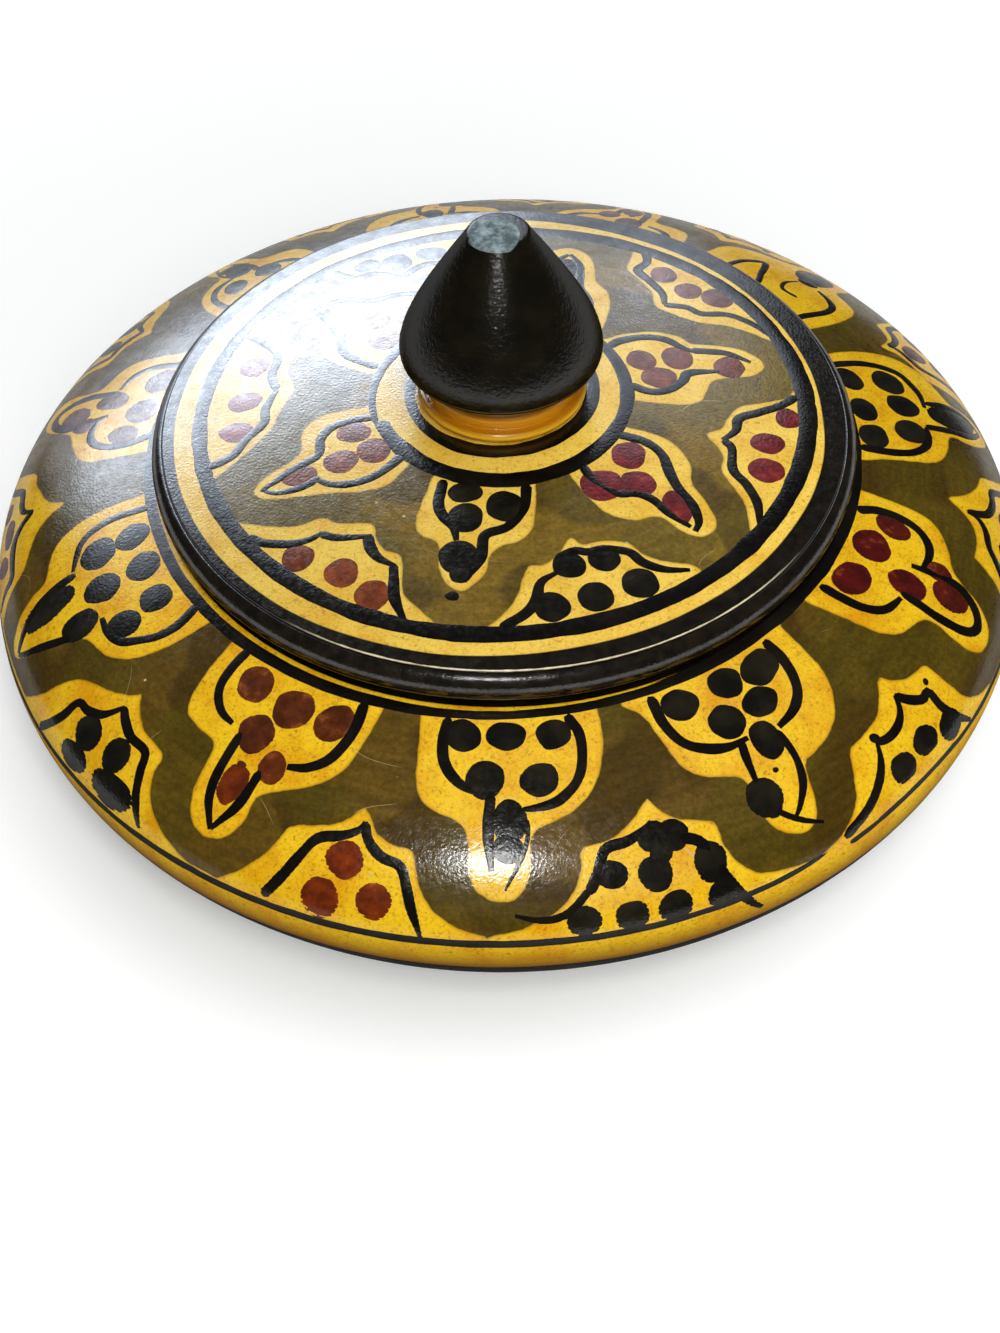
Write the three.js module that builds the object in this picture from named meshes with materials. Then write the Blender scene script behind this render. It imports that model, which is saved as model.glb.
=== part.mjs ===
// Trinket box turned from wood: a squat round bowl, a lid that lifts off, and a knob on a turned collar.
// Millimetres, +Z up. The origin is the middle of the foot, on the surface that the box stands on.

import * as THREE from 'three';

// Clearances between pieces
const restGap = 0.3;           // between faces that rest on each other
const lipClearance = 0.4;      // around the lid's lip in the mouth of the bowl
const stepClearance = 0.3;     // between the lid's rolled edge and the edge of the shoulder
const tenonClearance = 0.3;    // around the knob's tenon, and under its end

// Bowl, outside
const bodyRadius = 60;         // widest circle
const equatorHeight = 17;      // height of the widest circle
const footRadius = 30;         // flat foot that the box stands on
const bellyFullness = 2.15;    // 2 is an ellipse, more is squarer
const shoulderRise = 14.7;     // what the shoulder's curve would rise by at the axis
const shoulderFullness = 2.2;

// Bowl, inside
const sideWall = 7;
const floorThickness = 6;
const wellRadius = 30;         // flat part of the inside floor
const mouthRadius = 33;
const mouthLength = 5;         // straight wall of the mouth, below the seat
const seatStep = 0.8;          // depth of the lid's seat below the shoulder's edge

// Lid
const lidRadius = 39.5;        // outside of the rolled edge
const rollRadius = 2.4;        // round section of the rolled edge
const quirkWidth = 0.45;       // fine groove where the rolled edge meets the top
const quirkDepth = 0.4;
const topRise = 2.6;           // how much the top swells from its edge to the middle
const landRadius = 9.8;        // flat that the collar stands on
const lipLength = 4.5;
const lipWall = 3.6;
const undersideHollow = 0.8;   // hollow of the underside within the lip
const boreDepth = 4.2;         // blind bore for the knob's tenon

// Collar under the knob
const collarFootRadius = 9.35;
const collarNeckRadius = 7.7;
const collarHeight = 4.6;
const collarFootHeight = 1.15; // round bead at the foot
const collarGroove = 0.3;      // depth and width of the grooves between its turned bands

// Knob
const knobRadius = 10.95;
const knobFootRadius = 10.2;
const knobFootRise = 1.25;     // from the knob's flat foot up to its widest circle
const knobHeight = 15.1;
const knobTopRadius = 3.3;
const knobTopRound = 0.35;     // worn corner round the flat top
const knobShoulder = 0.2;      // share of the side's height that leaves the widest circle upright
const knobBow = 0.45;          // how full the side is towards the top
const tenonRadius = 4;

// Fineness of the faceted surfaces
const wideSegments = 64;
const smallSegments = 48;
const curveSteps = 10;

const bowlPaint = new THREE.MeshStandardMaterial({ color: 0xa9841f, roughness: 0.25, metalness: 0 });
const lidPaint = new THREE.MeshStandardMaterial({ color: 0x94803a, roughness: 0.25, metalness: 0 });
const collarPaint = new THREE.MeshStandardMaterial({ color: 0xd0901a, roughness: 0.3, metalness: 0 });
const knobPaint = new THREE.MeshStandardMaterial({ color: 0x14120f, roughness: 0.35, metalness: 0 });

// A quarter of a superellipse about a centre, from its side (angle 0) towards its top (a right angle).
// A negative width or height turns it to another quarter.
function quarter({ r, z, width, height, fullness = 2, from = 0, to = Math.PI / 2, steps = curveSteps }) {
  const points = [];
  for (let i = 0; i <= steps; i += 1) {
    const angle = from + ((to - from) * i) / steps;
    const across = Math.max(Math.cos(angle), 0) ** (2 / fullness);
    const up = Math.max(Math.sin(angle), 0) ** (2 / fullness);
    points.push([r + width * across, z + height * up]);
  }
  return points;
}

// Turns a profile of [radius, height] points about +Z. The profile runs up the outside and back down inside.
function turn(name, profile, segments, material) {
  const apart = profile.filter(([r, z], i) => {
    const [lastR, lastZ] = profile[Math.max(i - 1, 0)];
    return i === 0 || Math.hypot(r - lastR, z - lastZ) > 1e-4;
  });
  const geometry = new THREE.LatheGeometry(apart.map(([r, z]) => new THREE.Vector2(r, z)), segments);
  geometry.rotateX(Math.PI / 2);
  const mesh = new THREE.Mesh(geometry, material);
  mesh.name = name;
  return mesh;
}

// Where the lid sits: the step whose edge just clears the rolled edge, the seat, and the lid's underside above it
const rollCentreRadius = lidRadius - rollRadius;
const edgeBelowRoll = rollRadius - (seatStep - restGap);
const stepRadius = rollCentreRadius + Math.sqrt((rollRadius + stepClearance) ** 2 - edgeBelowRoll ** 2);
const shoulderEnd = Math.acos((stepRadius / bodyRadius) ** (shoulderFullness / 2));
const shoulderEdgeHeight = equatorHeight + shoulderRise * Math.sin(shoulderEnd) ** (2 / shoulderFullness);
const seatHeight = shoulderEdgeHeight - seatStep;
const lidBottom = seatHeight + restGap;
const topEdgeHeight = lidBottom + 2 * rollRadius;

function bowl() {
  const belly = quarter({
    r: footRadius, z: equatorHeight, width: bodyRadius - footRadius, height: -equatorHeight, fullness: bellyFullness,
  }).reverse();
  const shoulder = quarter({
    r: 0, z: equatorHeight, width: bodyRadius, height: shoulderRise, fullness: shoulderFullness, to: shoulderEnd,
  });
  const ceilingHeight = seatHeight - mouthLength;
  const cavityRadius = bodyRadius - sideWall;
  const ceiling = quarter({
    r: mouthRadius, z: equatorHeight, width: cavityRadius - mouthRadius, height: ceilingHeight - equatorHeight,
  }).reverse();
  const well = quarter({
    r: wellRadius, z: equatorHeight, width: cavityRadius - wellRadius, height: floorThickness - equatorHeight,
  });
  return turn('bowl', [
    [0, 0],
    ...belly,
    ...shoulder,
    [stepRadius, seatHeight],
    [mouthRadius, seatHeight],
    ...ceiling,
    ...well,
    [0, floorThickness],
  ], wideSegments, bowlPaint);
}

// Top of the lid: height at a radius, swelling gently towards the middle
const topRadius = rollCentreRadius + quirkWidth / 2;
function topHeight(radius) {
  return topEdgeHeight + topRise * (1 - (radius / topRadius) ** 2);
}
const landHeight = topHeight(landRadius);
const boreRadius = tenonRadius + tenonClearance;

function lid() {
  const lipRadius = mouthRadius - lipClearance;
  const hollowHeight = lidBottom + undersideHollow;
  const roll = quarter({
    r: rollCentreRadius, z: lidBottom + rollRadius, width: rollRadius, height: -rollRadius, steps: 6,
  }).reverse();
  const rollTop = quarter({
    r: rollCentreRadius, z: lidBottom + rollRadius, width: rollRadius, height: rollRadius,
    to: Math.acos((quirkWidth * 1.5) / rollRadius), steps: 6,
  });
  const top = [];
  for (let i = 0; i <= curveSteps; i += 1) {
    const radius = topRadius + ((landRadius - topRadius) * i) / curveSteps;
    top.push([radius, topHeight(radius)]);
  }
  return turn('lid', [
    [0, hollowHeight],
    [lipRadius - lipWall, hollowHeight],
    [lipRadius - lipWall, lidBottom - lipLength],
    [lipRadius, lidBottom - lipLength],
    [lipRadius, lidBottom],
    ...roll,
    ...rollTop,
    [topRadius + quirkWidth / 2, topEdgeHeight - quirkDepth],
    ...top,
    [boreRadius, landHeight],
    [boreRadius, landHeight - boreDepth],
    [0, landHeight - boreDepth],
  ], wideSegments, lidPaint);
}

const collarBottom = landHeight + restGap;
const knobBottom = collarBottom + collarHeight + restGap;

function collar() {
  const bandHeight = (collarHeight - collarFootHeight) / 2;
  const flare = (collarFootRadius - collarNeckRadius) / 2;
  const footBead = quarter({
    r: collarFootRadius - collarFootHeight / 2, z: collarBottom + collarFootHeight / 2,
    width: collarFootHeight / 2, height: collarFootHeight / 2,
    from: 0, to: Math.PI / 2, steps: 4,
  });
  const bandFoot = collarBottom + collarFootHeight;
  const bandRadius = collarFootRadius - flare;
  return turn('collar', [
    [boreRadius, collarBottom],
    [collarFootRadius - collarFootHeight / 4, collarBottom],
    [collarFootRadius, collarBottom + collarFootHeight / 4],
    ...footBead,
    [bandRadius - collarGroove, bandFoot],
    [bandRadius, bandFoot + collarGroove],
    [bandRadius - flare / 2, bandFoot + bandHeight - collarGroove / 2],
    [bandRadius - flare / 2 - collarGroove, bandFoot + bandHeight],
    [bandRadius - flare / 2, bandFoot + bandHeight + collarGroove],
    [collarNeckRadius, bandFoot + 2 * bandHeight],
    [boreRadius, bandFoot + 2 * bandHeight],
    [boreRadius, collarBottom],
  ], smallSegments, collarPaint);
}

function knob() {
  const tenonBottom = landHeight - boreDepth + tenonClearance;
  const widestHeight = knobBottom + knobFootRise;
  const topHeight = knobBottom + knobHeight;
  const bulge = quarter({
    r: knobFootRadius, z: widestHeight, width: knobRadius - knobFootRadius, height: -knobFootRise, steps: 4,
  }).reverse();
  const widest = new THREE.Vector2(knobRadius, widestHeight);
  const brow = new THREE.Vector2(knobTopRadius, topHeight - knobTopRound);
  const upright = new THREE.Vector2(knobRadius, widestHeight + (brow.y - widestHeight) * knobShoulder);
  const drawnIn = brow.clone().lerp(upright, knobBow);
  const side = new THREE.CubicBezierCurve(widest, upright, drawnIn, brow).getPoints(12).map((p) => [p.x, p.y]);
  return turn('knob', [
    [0, tenonBottom],
    [tenonRadius, tenonBottom],
    [tenonRadius, knobBottom],
    ...bulge,
    ...side,
    [knobTopRadius - knobTopRound, topHeight],
    [0, topHeight],
  ], smallSegments, knobPaint);
}

const box = new THREE.Group();
box.add(bowl(), lid(), collar(), knob());

export default box;
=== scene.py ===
# Trinket box of turned wood with folk ornament in lacquer: the looks of its bowl, lid, collar and knob.
# Sizes are in millimetres, and MM makes them metres where a mesh is made. +Z is up, and the front faces -Y.

import math

import bpy
import numpy as np
from mathutils import Matrix, Vector


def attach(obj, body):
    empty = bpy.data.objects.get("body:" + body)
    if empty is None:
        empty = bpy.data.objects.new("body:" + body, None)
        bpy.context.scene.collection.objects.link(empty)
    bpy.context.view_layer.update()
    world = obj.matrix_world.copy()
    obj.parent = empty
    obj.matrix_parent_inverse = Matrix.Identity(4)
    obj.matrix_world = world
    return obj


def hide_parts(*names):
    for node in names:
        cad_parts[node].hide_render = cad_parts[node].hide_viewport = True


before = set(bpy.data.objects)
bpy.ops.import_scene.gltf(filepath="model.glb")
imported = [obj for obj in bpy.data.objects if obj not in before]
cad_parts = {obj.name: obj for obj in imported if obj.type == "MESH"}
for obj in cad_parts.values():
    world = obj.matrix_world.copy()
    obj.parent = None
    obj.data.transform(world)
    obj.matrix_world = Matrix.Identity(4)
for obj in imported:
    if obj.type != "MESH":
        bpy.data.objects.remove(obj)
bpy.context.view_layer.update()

MM = 0.001

# The bowl, in sizes that the CAD part gives
BODY_RADIUS = 60.0
EQUATOR = 17.0               # height of the widest circle
FOOT_RADIUS = 30.0
BELLY_FULLNESS = 2.15        # 2 is an ellipse, more is squarer
SHOULDER_RISE = 14.7         # what the shoulder's curve would rise by at the axis
SHOULDER_FULLNESS = 2.2
EDGE_RADIUS = 39.02          # where the shoulder ends above the seat
EDGE_HEIGHT = 28.77
SEAT_HEIGHT = 27.96
MOUTH_RADIUS = 33.0
MOUTH_LENGTH = 5.0
SIDE_WALL = 7.0
WELL_RADIUS = 30.0           # flat part of the inside floor
FLOOR_THICKNESS = 6.0

# The lid: its rolled edge is drawn as the worn bead and the arris above it that the photograph shows
LID_BOTTOM = 28.26
LIP_BOTTOM = 23.76
LIP_INSIDE = 29.0
LIP_OUTSIDE = 32.6
UNDERSIDE_HOLLOW = 0.8
BEAD_CENTRE = 37.6
BEAD_HEIGHT = 30.9
BEAD_RADIUS = 1.9
ARRIS_RADIUS = 38.0
TOP_RADIUS = 37.325
TOP_EDGE = 33.06
TOP_RISE = 2.6
LAND_RADIUS = 9.8            # flat that the collar stands on
LAND_HEIGHT = 35.48
BORE_RADIUS = 4.3
BORE_DEPTH = 4.2

# The collar and the knob
COLLAR_BOTTOM = 35.78
COLLAR_HEIGHT = 4.6
COLLAR_BEAD = 0.575          # half the bead at its foot
COLLAR_BEAD_CENTRE = 8.775
TENON_RADIUS = 4.0
TENON_DEPTH = 3.9
KNOB_BOTTOM = 40.68
KNOB_TOP = 55.78
KNOB_RADIUS = 10.95
KNOB_FOOT_RADIUS = 10.2
KNOB_FOOT_RISE = 1.25        # from the flat foot up to the widest circle
KNOB_TOP_RADIUS = 3.3
KNOB_TOP_ROUND = 0.35
KNOB_SHOULDER = 0.2          # share of the side that leaves the widest circle upright
KNOB_BOW = 0.45              # how full the side is towards the top


# Lines that the pieces are turned to

def quarter(r, z, width, height, fullness=2.0, end=math.pi / 2, steps=48):
    """A quarter of a superellipse about a centre, from its side towards its top."""
    points = []
    for i in range(steps + 1):
        angle = end * i / steps
        across = max(math.cos(angle), 0.0) ** (2 / fullness)
        up = max(math.sin(angle), 0.0) ** (2 / fullness)
        points.append((r + width * across, z + height * up))
    return points


def lengths(line):
    """How far along the line each point lies."""
    line = np.asarray(line, float)
    return np.concatenate([[0.0], np.cumsum(np.hypot(*np.diff(line, axis=0).T))])


def evenly(line, spacing):
    """The same line with its points an even distance apart and both ends kept."""
    line = np.asarray(line, float)
    far = lengths(line)
    at = np.linspace(0, far[-1], max(2, round(far[-1] / spacing) + 1))
    return [tuple(p) for p in np.stack([np.interp(at, far, line[:, k]) for k in (0, 1)], 1)]


def eased(before, corner, after, ease, steps=4):
    """A corner taken off with a small round, as sandpaper and varnish leave it."""
    before, corner, after = (np.asarray(p, float) for p in (before, corner, after))
    a = corner + (before - corner) / np.linalg.norm(before - corner) * ease
    b = corner + (after - corner) / np.linalg.norm(after - corner) * ease
    t = np.linspace(0, 1, steps + 1)[:, None]
    return [tuple(p) for p in (1 - t) ** 2 * a + 2 * t * (1 - t) * corner + t ** 2 * b]


def top_height(radius):
    """Height of the lid's gently swelling top."""
    return TOP_EDGE + TOP_RISE * (1 - (radius / TOP_RADIUS) ** 2)


shoulder_end = math.acos((EDGE_RADIUS / BODY_RADIUS) ** (SHOULDER_FULLNESS / 2))
belly = quarter(FOOT_RADIUS, EQUATOR, BODY_RADIUS - FOOT_RADIUS, -EQUATOR, BELLY_FULLNESS)
shoulder = quarter(0, EQUATOR, BODY_RADIUS, SHOULDER_RISE, SHOULDER_FULLNESS, shoulder_end)
shoulder_line = evenly(shoulder[::-1] + belly[1:20], 0.4)


def bowl_line():
    """From the middle of the foot up the outside, over the seat, and down inside to the middle."""
    widest_inside = BODY_RADIUS - SIDE_WALL
    neck_height = SEAT_HEIGHT - MOUTH_LENGTH
    ceiling = quarter(MOUTH_RADIUS, EQUATOR, widest_inside - MOUTH_RADIUS, neck_height - EQUATOR)
    well = quarter(WELL_RADIUS, EQUATOR, widest_inside - WELL_RADIUS, FLOOR_THICKNESS - EQUATOR)
    edge = (EDGE_RADIUS, EDGE_HEIGHT)
    seat = (EDGE_RADIUS, SEAT_HEIGHT)
    mouth = (MOUTH_RADIUS, SEAT_HEIGHT)
    neck = (MOUTH_RADIUS, neck_height)
    foot = evenly([(0, 0), (FOOT_RADIUS, 0)], 2.5)
    outside = foot + evenly(belly[::-1], 0.9)[1:] + evenly(shoulder, 0.55)[1:-1]
    over = eased(shoulder[-3], edge, seat, 0.28) + eased(edge, seat, mouth, 0.2, 2)
    over += evenly([seat, mouth], 1.0)[1:-1] + eased(seat, mouth, neck, 0.4)
    inside = evenly([mouth, neck], 0.8)[1:-1] + evenly(ceiling[::-1], 1.5) + evenly(well, 1.6)[1:]
    return outside + over + inside + evenly([(WELL_RADIUS, FLOOR_THICKNESS), (0, FLOOR_THICKNESS)], 2.5)[1:]


def lid_line():
    """From the middle of the underside down and up the lip, round the edge, and over the top to the bore."""
    bead = [(BEAD_CENTRE + BEAD_RADIUS * math.cos(t), BEAD_HEIGHT + BEAD_RADIUS * math.sin(t))
            for t in np.radians(np.linspace(-105, 76, 60))]
    top = [(r, top_height(r)) for r in np.linspace(ARRIS_RADIUS - 0.2, LAND_RADIUS, 48)]
    arris = (ARRIS_RADIUS, top_height(ARRIS_RADIUS))
    step = (ARRIS_RADIUS + 0.06, arris[1] - 0.26)
    hollow = LID_BOTTOM + UNDERSIDE_HOLLOW
    lip = [(LIP_INSIDE, hollow), (LIP_INSIDE, LIP_BOTTOM),
           (LIP_OUTSIDE, LIP_BOTTOM), (LIP_OUTSIDE, LID_BOTTOM)]
    underside = evenly([(0, hollow), lip[0]], 2.5)
    underside += eased(lip[0], lip[1], lip[2], 0.5) + eased(lip[1], lip[2], lip[3], 0.5)
    underside += evenly([(LIP_OUTSIDE, LIP_BOTTOM + 1), lip[3]], 1.0)
    neck = evenly([lip[3], (BEAD_CENTRE - 0.5, LID_BOTTOM), bead[0]], 1.1)[1:-1]
    over = [step] + eased(step, arris, top[0], 0.12) + evenly(top, 0.6)
    bore_end = LAND_HEIGHT - BORE_DEPTH
    bore = [(BORE_RADIUS, LAND_HEIGHT), (BORE_RADIUS, bore_end), (0, bore_end)]
    return underside + neck + evenly(bead, 0.25) + over + bore


def collar_line():
    """A turned ring: a round bead at the foot and two bands above it, parted by fine grooves."""
    z, top = COLLAR_BOTTOM, COLLAR_BOTTOM + COLLAR_HEIGHT
    middle = z + COLLAR_BEAD
    bead = quarter(COLLAR_BEAD_CENTRE, middle, COLLAR_BEAD, -COLLAR_BEAD, steps=6)[::-1]
    bead += quarter(COLLAR_BEAD_CENTRE, middle, COLLAR_BEAD, COLLAR_BEAD, steps=6)[1:]
    low = [(8.3, z + 1.3), (8.52, z + 1.5), (8.42, z + 2.1), (8.2, z + 2.65), (7.85, z + 2.8)]
    high = [(8.1, z + 3.0), (8.05, z + 3.5), (7.85, z + 4.2), (7.65, top)]
    inside = [(6.0, top), (BORE_RADIUS, top), (BORE_RADIUS, z)]
    return [(BORE_RADIUS, z), (6.5, z)] + bead + [(8.45, z + 1.16)] + low + high + inside


def knob_line():
    """The glued tenon, a rounded foot, and a full side that draws in to the worn flat top."""
    widest = KNOB_BOTTOM + KNOB_FOOT_RISE
    brow = (KNOB_TOP_RADIUS, KNOB_TOP - KNOB_TOP_ROUND)
    upright = (KNOB_RADIUS, widest + (brow[1] - widest) * KNOB_SHOULDER)
    bowed = (brow[0] + (upright[0] - brow[0]) * KNOB_BOW, brow[1] + (upright[1] - brow[1]) * KNOB_BOW)
    side = []
    for t in np.linspace(0, 1, 33):
        a, b, c, d = (1 - t) ** 3, 3 * t * (1 - t) ** 2, 3 * t * t * (1 - t), t ** 3
        side.append((a * KNOB_RADIUS + b * upright[0] + c * bowed[0] + d * brow[0],
                     a * widest + b * upright[1] + c * bowed[1] + d * brow[1]))
    foot = quarter(KNOB_FOOT_RADIUS, widest, KNOB_RADIUS - KNOB_FOOT_RADIUS, -KNOB_FOOT_RISE, steps=10)[::-1]
    end = LAND_HEIGHT - TENON_DEPTH
    tenon = [(0, end), (TENON_RADIUS, end), (TENON_RADIUS, KNOB_BOTTOM), (7, KNOB_BOTTOM)]
    top = eased(side[-2], (3.1, KNOB_TOP), (0, KNOB_TOP), KNOB_TOP_ROUND) + [(1.5, KNOB_TOP), (0, KNOB_TOP)]
    return tenon + foot + side[1:-1] + top


# Node trees, and what runs them

def add(tree, kind, inputs=None, **settings):
    """Adds a node with its settings and its inputs, values or other nodes' sockets, and gives its outputs."""
    node = tree.nodes.new(kind)
    for name, value in settings.items():
        setattr(node, name, value)
    for name, value in (inputs or {}).items():
        if isinstance(value, bpy.types.NodeSocket):
            tree.links.new(value, node.inputs[name])
        else:
            node.inputs[name].default_value = value
    return node.outputs


def per(size):
    """The texture scale that makes a feature this many millimetres wide."""
    return 1 / (size * MM)


def new_tree(name, sizes):
    """An empty geometry tree. A mesh goes in and one comes out, and other inputs come by name and type."""
    tree = bpy.data.node_groups.new(name, "GeometryNodeTree")
    for label, kind in [("Geometry", "Geometry"), *sizes]:
        tree.interface.new_socket(label, in_out="INPUT", socket_type="NodeSocket" + kind)
    tree.interface.new_socket("Geometry", in_out="OUTPUT", socket_type="NodeSocketGeometry")
    return tree, tree.nodes.new("NodeGroupInput").outputs


def close_tree(tree, mesh, material):
    """Ends a tree as the export needs it: real geometry, smooth, with its material."""
    mesh = add(tree, "GeometryNodeRealizeInstances", {"Geometry": mesh})[0]
    mesh = add(tree, "GeometryNodeSetShadeSmooth", {"Geometry": mesh})[0]
    mesh = add(tree, "GeometryNodeSetMaterial", {"Geometry": mesh, "Material": material})[0]
    tree.links.new(mesh, tree.nodes.new("NodeGroupOutput").inputs[0])


def lay_on_turned_form():
    """Takes flat work to the turned form by its angle, its length along the profile and its height off it."""
    tree, given = new_tree("lay_on_turned_form", [
        ("Profile", "Geometry"), ("Angle", "Float"), ("Along", "Float"), ("Height", "Float")])
    along = {"Curves": given["Profile"], "Length": given["Along"]}
    at = add(tree, "GeometryNodeSampleCurve", along, mode="LENGTH")
    way = add(tree, "ShaderNodeSeparateXYZ", {0: at["Tangent"]})
    sunk = add(tree, "ShaderNodeMath", {0: way[2], 1: -1.0}, operation="MULTIPLY")[0]
    out = add(tree, "ShaderNodeCombineXYZ", {0: sunk, 2: way[0]})[0]
    raised = add(tree, "ShaderNodeVectorMath", {0: out, "Scale": given["Height"]}, operation="SCALE")[0]
    point = add(tree, "ShaderNodeVectorMath", {0: at["Position"], 1: raised}, operation="ADD")[0]
    turned = add(tree, "ShaderNodeVectorRotate", {"Vector": point, "Angle": given["Angle"]},
                 rotation_type="Z_AXIS")[0]
    laid = add(tree, "GeometryNodeSetPosition", {"Geometry": given["Geometry"], "Position": turned})[0]
    tree.links.new(laid, tree.nodes.new("NodeGroupOutput").inputs[0])
    return tree


def lay(tree, mesh, given, lay_group):
    """Lays a flat mesh on the profile: wrapped round it by arc length, or dropped on it from above."""
    profile = add(tree, "GeometryNodeObjectInfo", {"Object": given["Profile"]})["Geometry"]
    profile = add(tree, "GeometryNodeMeshToCurve", {"Mesh": profile})[0]
    place = add(tree, "ShaderNodeSeparateXYZ", {0: add(tree, "GeometryNodeInputPosition")[0]})
    down = add(tree, "ShaderNodeMath", {0: place[1], 1: -1.0}, operation="MULTIPLY")[0]
    level = add(tree, "ShaderNodeCombineXYZ", {0: place[0], 1: place[1]})[0]
    reach = add(tree, "ShaderNodeVectorMath", {0: level}, operation="LENGTH")["Value"]
    from_above = given["Seen From Above"]
    along = add(tree, "GeometryNodeSwitch", {"Switch": from_above, "False": down, "True": reach},
                input_type="FLOAT")[0]
    here = add(tree, "GeometryNodeSampleCurve", {"Curves": profile, "Length": down},
               mode="LENGTH")["Position"]
    radius = add(tree, "ShaderNodeSeparateXYZ", {0: here})[0]
    middle = add(tree, "GeometryNodeInputNamedAttribute", {"Name": "middle"}, data_type="FLOAT")[0]
    off = add(tree, "ShaderNodeMath", {0: place[0], 1: radius}, operation="DIVIDE")[0]
    round_it = add(tree, "ShaderNodeMath", {0: middle, 1: off}, operation="ADD")[0]
    above = add(tree, "ShaderNodeMath", {0: place[1], 1: place[0]}, operation="ARCTAN2")[0]
    angle = add(tree, "GeometryNodeSwitch", {"Switch": from_above, "False": round_it, "True": above},
                input_type="FLOAT")[0]
    laid = {"Geometry": mesh, "Profile": profile, "Angle": angle, "Along": along, "Height": place[2]}
    return add(tree, "GeometryNodeGroup", laid, node_tree=lay_group)[0]


def wandering(tree, size, amount):
    """A small sideways wander, as a hand gives: a noise in the plane, another one for each motif."""
    place = add(tree, "GeometryNodeInputPosition")[0]
    middle = add(tree, "GeometryNodeInputNamedAttribute", {"Name": "middle"}, data_type="FLOAT")[0]
    hand = {"Vector": place, "W": middle, "Scale": per(size), "Detail": 1.0}
    noise = add(tree, "ShaderNodeTexNoise", hand, noise_dimensions="4D")["Color"]
    centred = add(tree, "ShaderNodeVectorMath", {0: noise, 1: (0.5, 0.5, 0.5)}, operation="SUBTRACT")[0]
    level = add(tree, "ShaderNodeVectorMath", {0: centred, 1: (2.0, 2.0, 0.0)}, operation="MULTIPLY")[0]
    return add(tree, "ShaderNodeVectorMath", {0: level, "Scale": amount}, operation="SCALE")[0]


def turning_tree():
    """Turns a profile about +Z: a grid with a row for each of its points, closed at seam and poles."""
    tree, given = new_tree("turned_on_a_lathe", [("Segments", "Int"), ("Material", "Material")])
    rows = add(tree, "GeometryNodeAttributeDomainSize", {"Geometry": given["Geometry"]})["Point Count"]
    columns = add(tree, "ShaderNodeMath", {0: given["Segments"], 1: 1.0}, operation="ADD")[0]
    grid = add(tree, "GeometryNodeMeshGrid", {"Vertices X": columns, "Vertices Y": rows})[0]
    index = add(tree, "GeometryNodeInputIndex")[0]
    row = add(tree, "ShaderNodeMath", {0: index, 1: rows}, operation="MODULO")[0]
    past = add(tree, "ShaderNodeMath", {0: index, 1: rows}, operation="DIVIDE")[0]
    column = add(tree, "ShaderNodeMath", {0: past}, operation="FLOOR")[0]
    share = add(tree, "ShaderNodeMath", {0: column, 1: given["Segments"]}, operation="DIVIDE")[0]
    angle = add(tree, "ShaderNodeMath", {0: share, 1: 2 * math.pi}, operation="MULTIPLY")[0]
    point = {"Geometry": given["Geometry"], "Value": add(tree, "GeometryNodeInputPosition")[0], "Index": row}
    point = add(tree, "GeometryNodeSampleIndex", point, data_type="FLOAT_VECTOR")[0]
    far = add(tree, "GeometryNodeInputNamedAttribute", {"Name": "along"}, data_type="FLOAT")[0]
    far = add(tree, "GeometryNodeSampleIndex", {"Geometry": given["Geometry"], "Value": far, "Index": row})[0]
    turned = add(tree, "ShaderNodeVectorRotate", {"Vector": point, "Angle": angle},
                 rotation_type="Z_AXIS")[0]
    mesh = add(tree, "GeometryNodeStoreNamedAttribute", {"Geometry": grid, "Name": "along", "Value": far})[0]
    mesh = add(tree, "GeometryNodeSetPosition", {"Geometry": mesh, "Position": turned})[0]
    mesh = add(tree, "GeometryNodeMergeByDistance", {"Geometry": mesh, "Distance": 0.002 * MM})[0]
    close_tree(tree, mesh, given["Material"])
    return tree


# What a tree that lays paint on the box is given
PAINT_INPUTS = [("Profile", "Object"), ("Seen From Above", "Bool"),
                ("Paint Height", "Float"), ("Material", "Material")]


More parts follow.
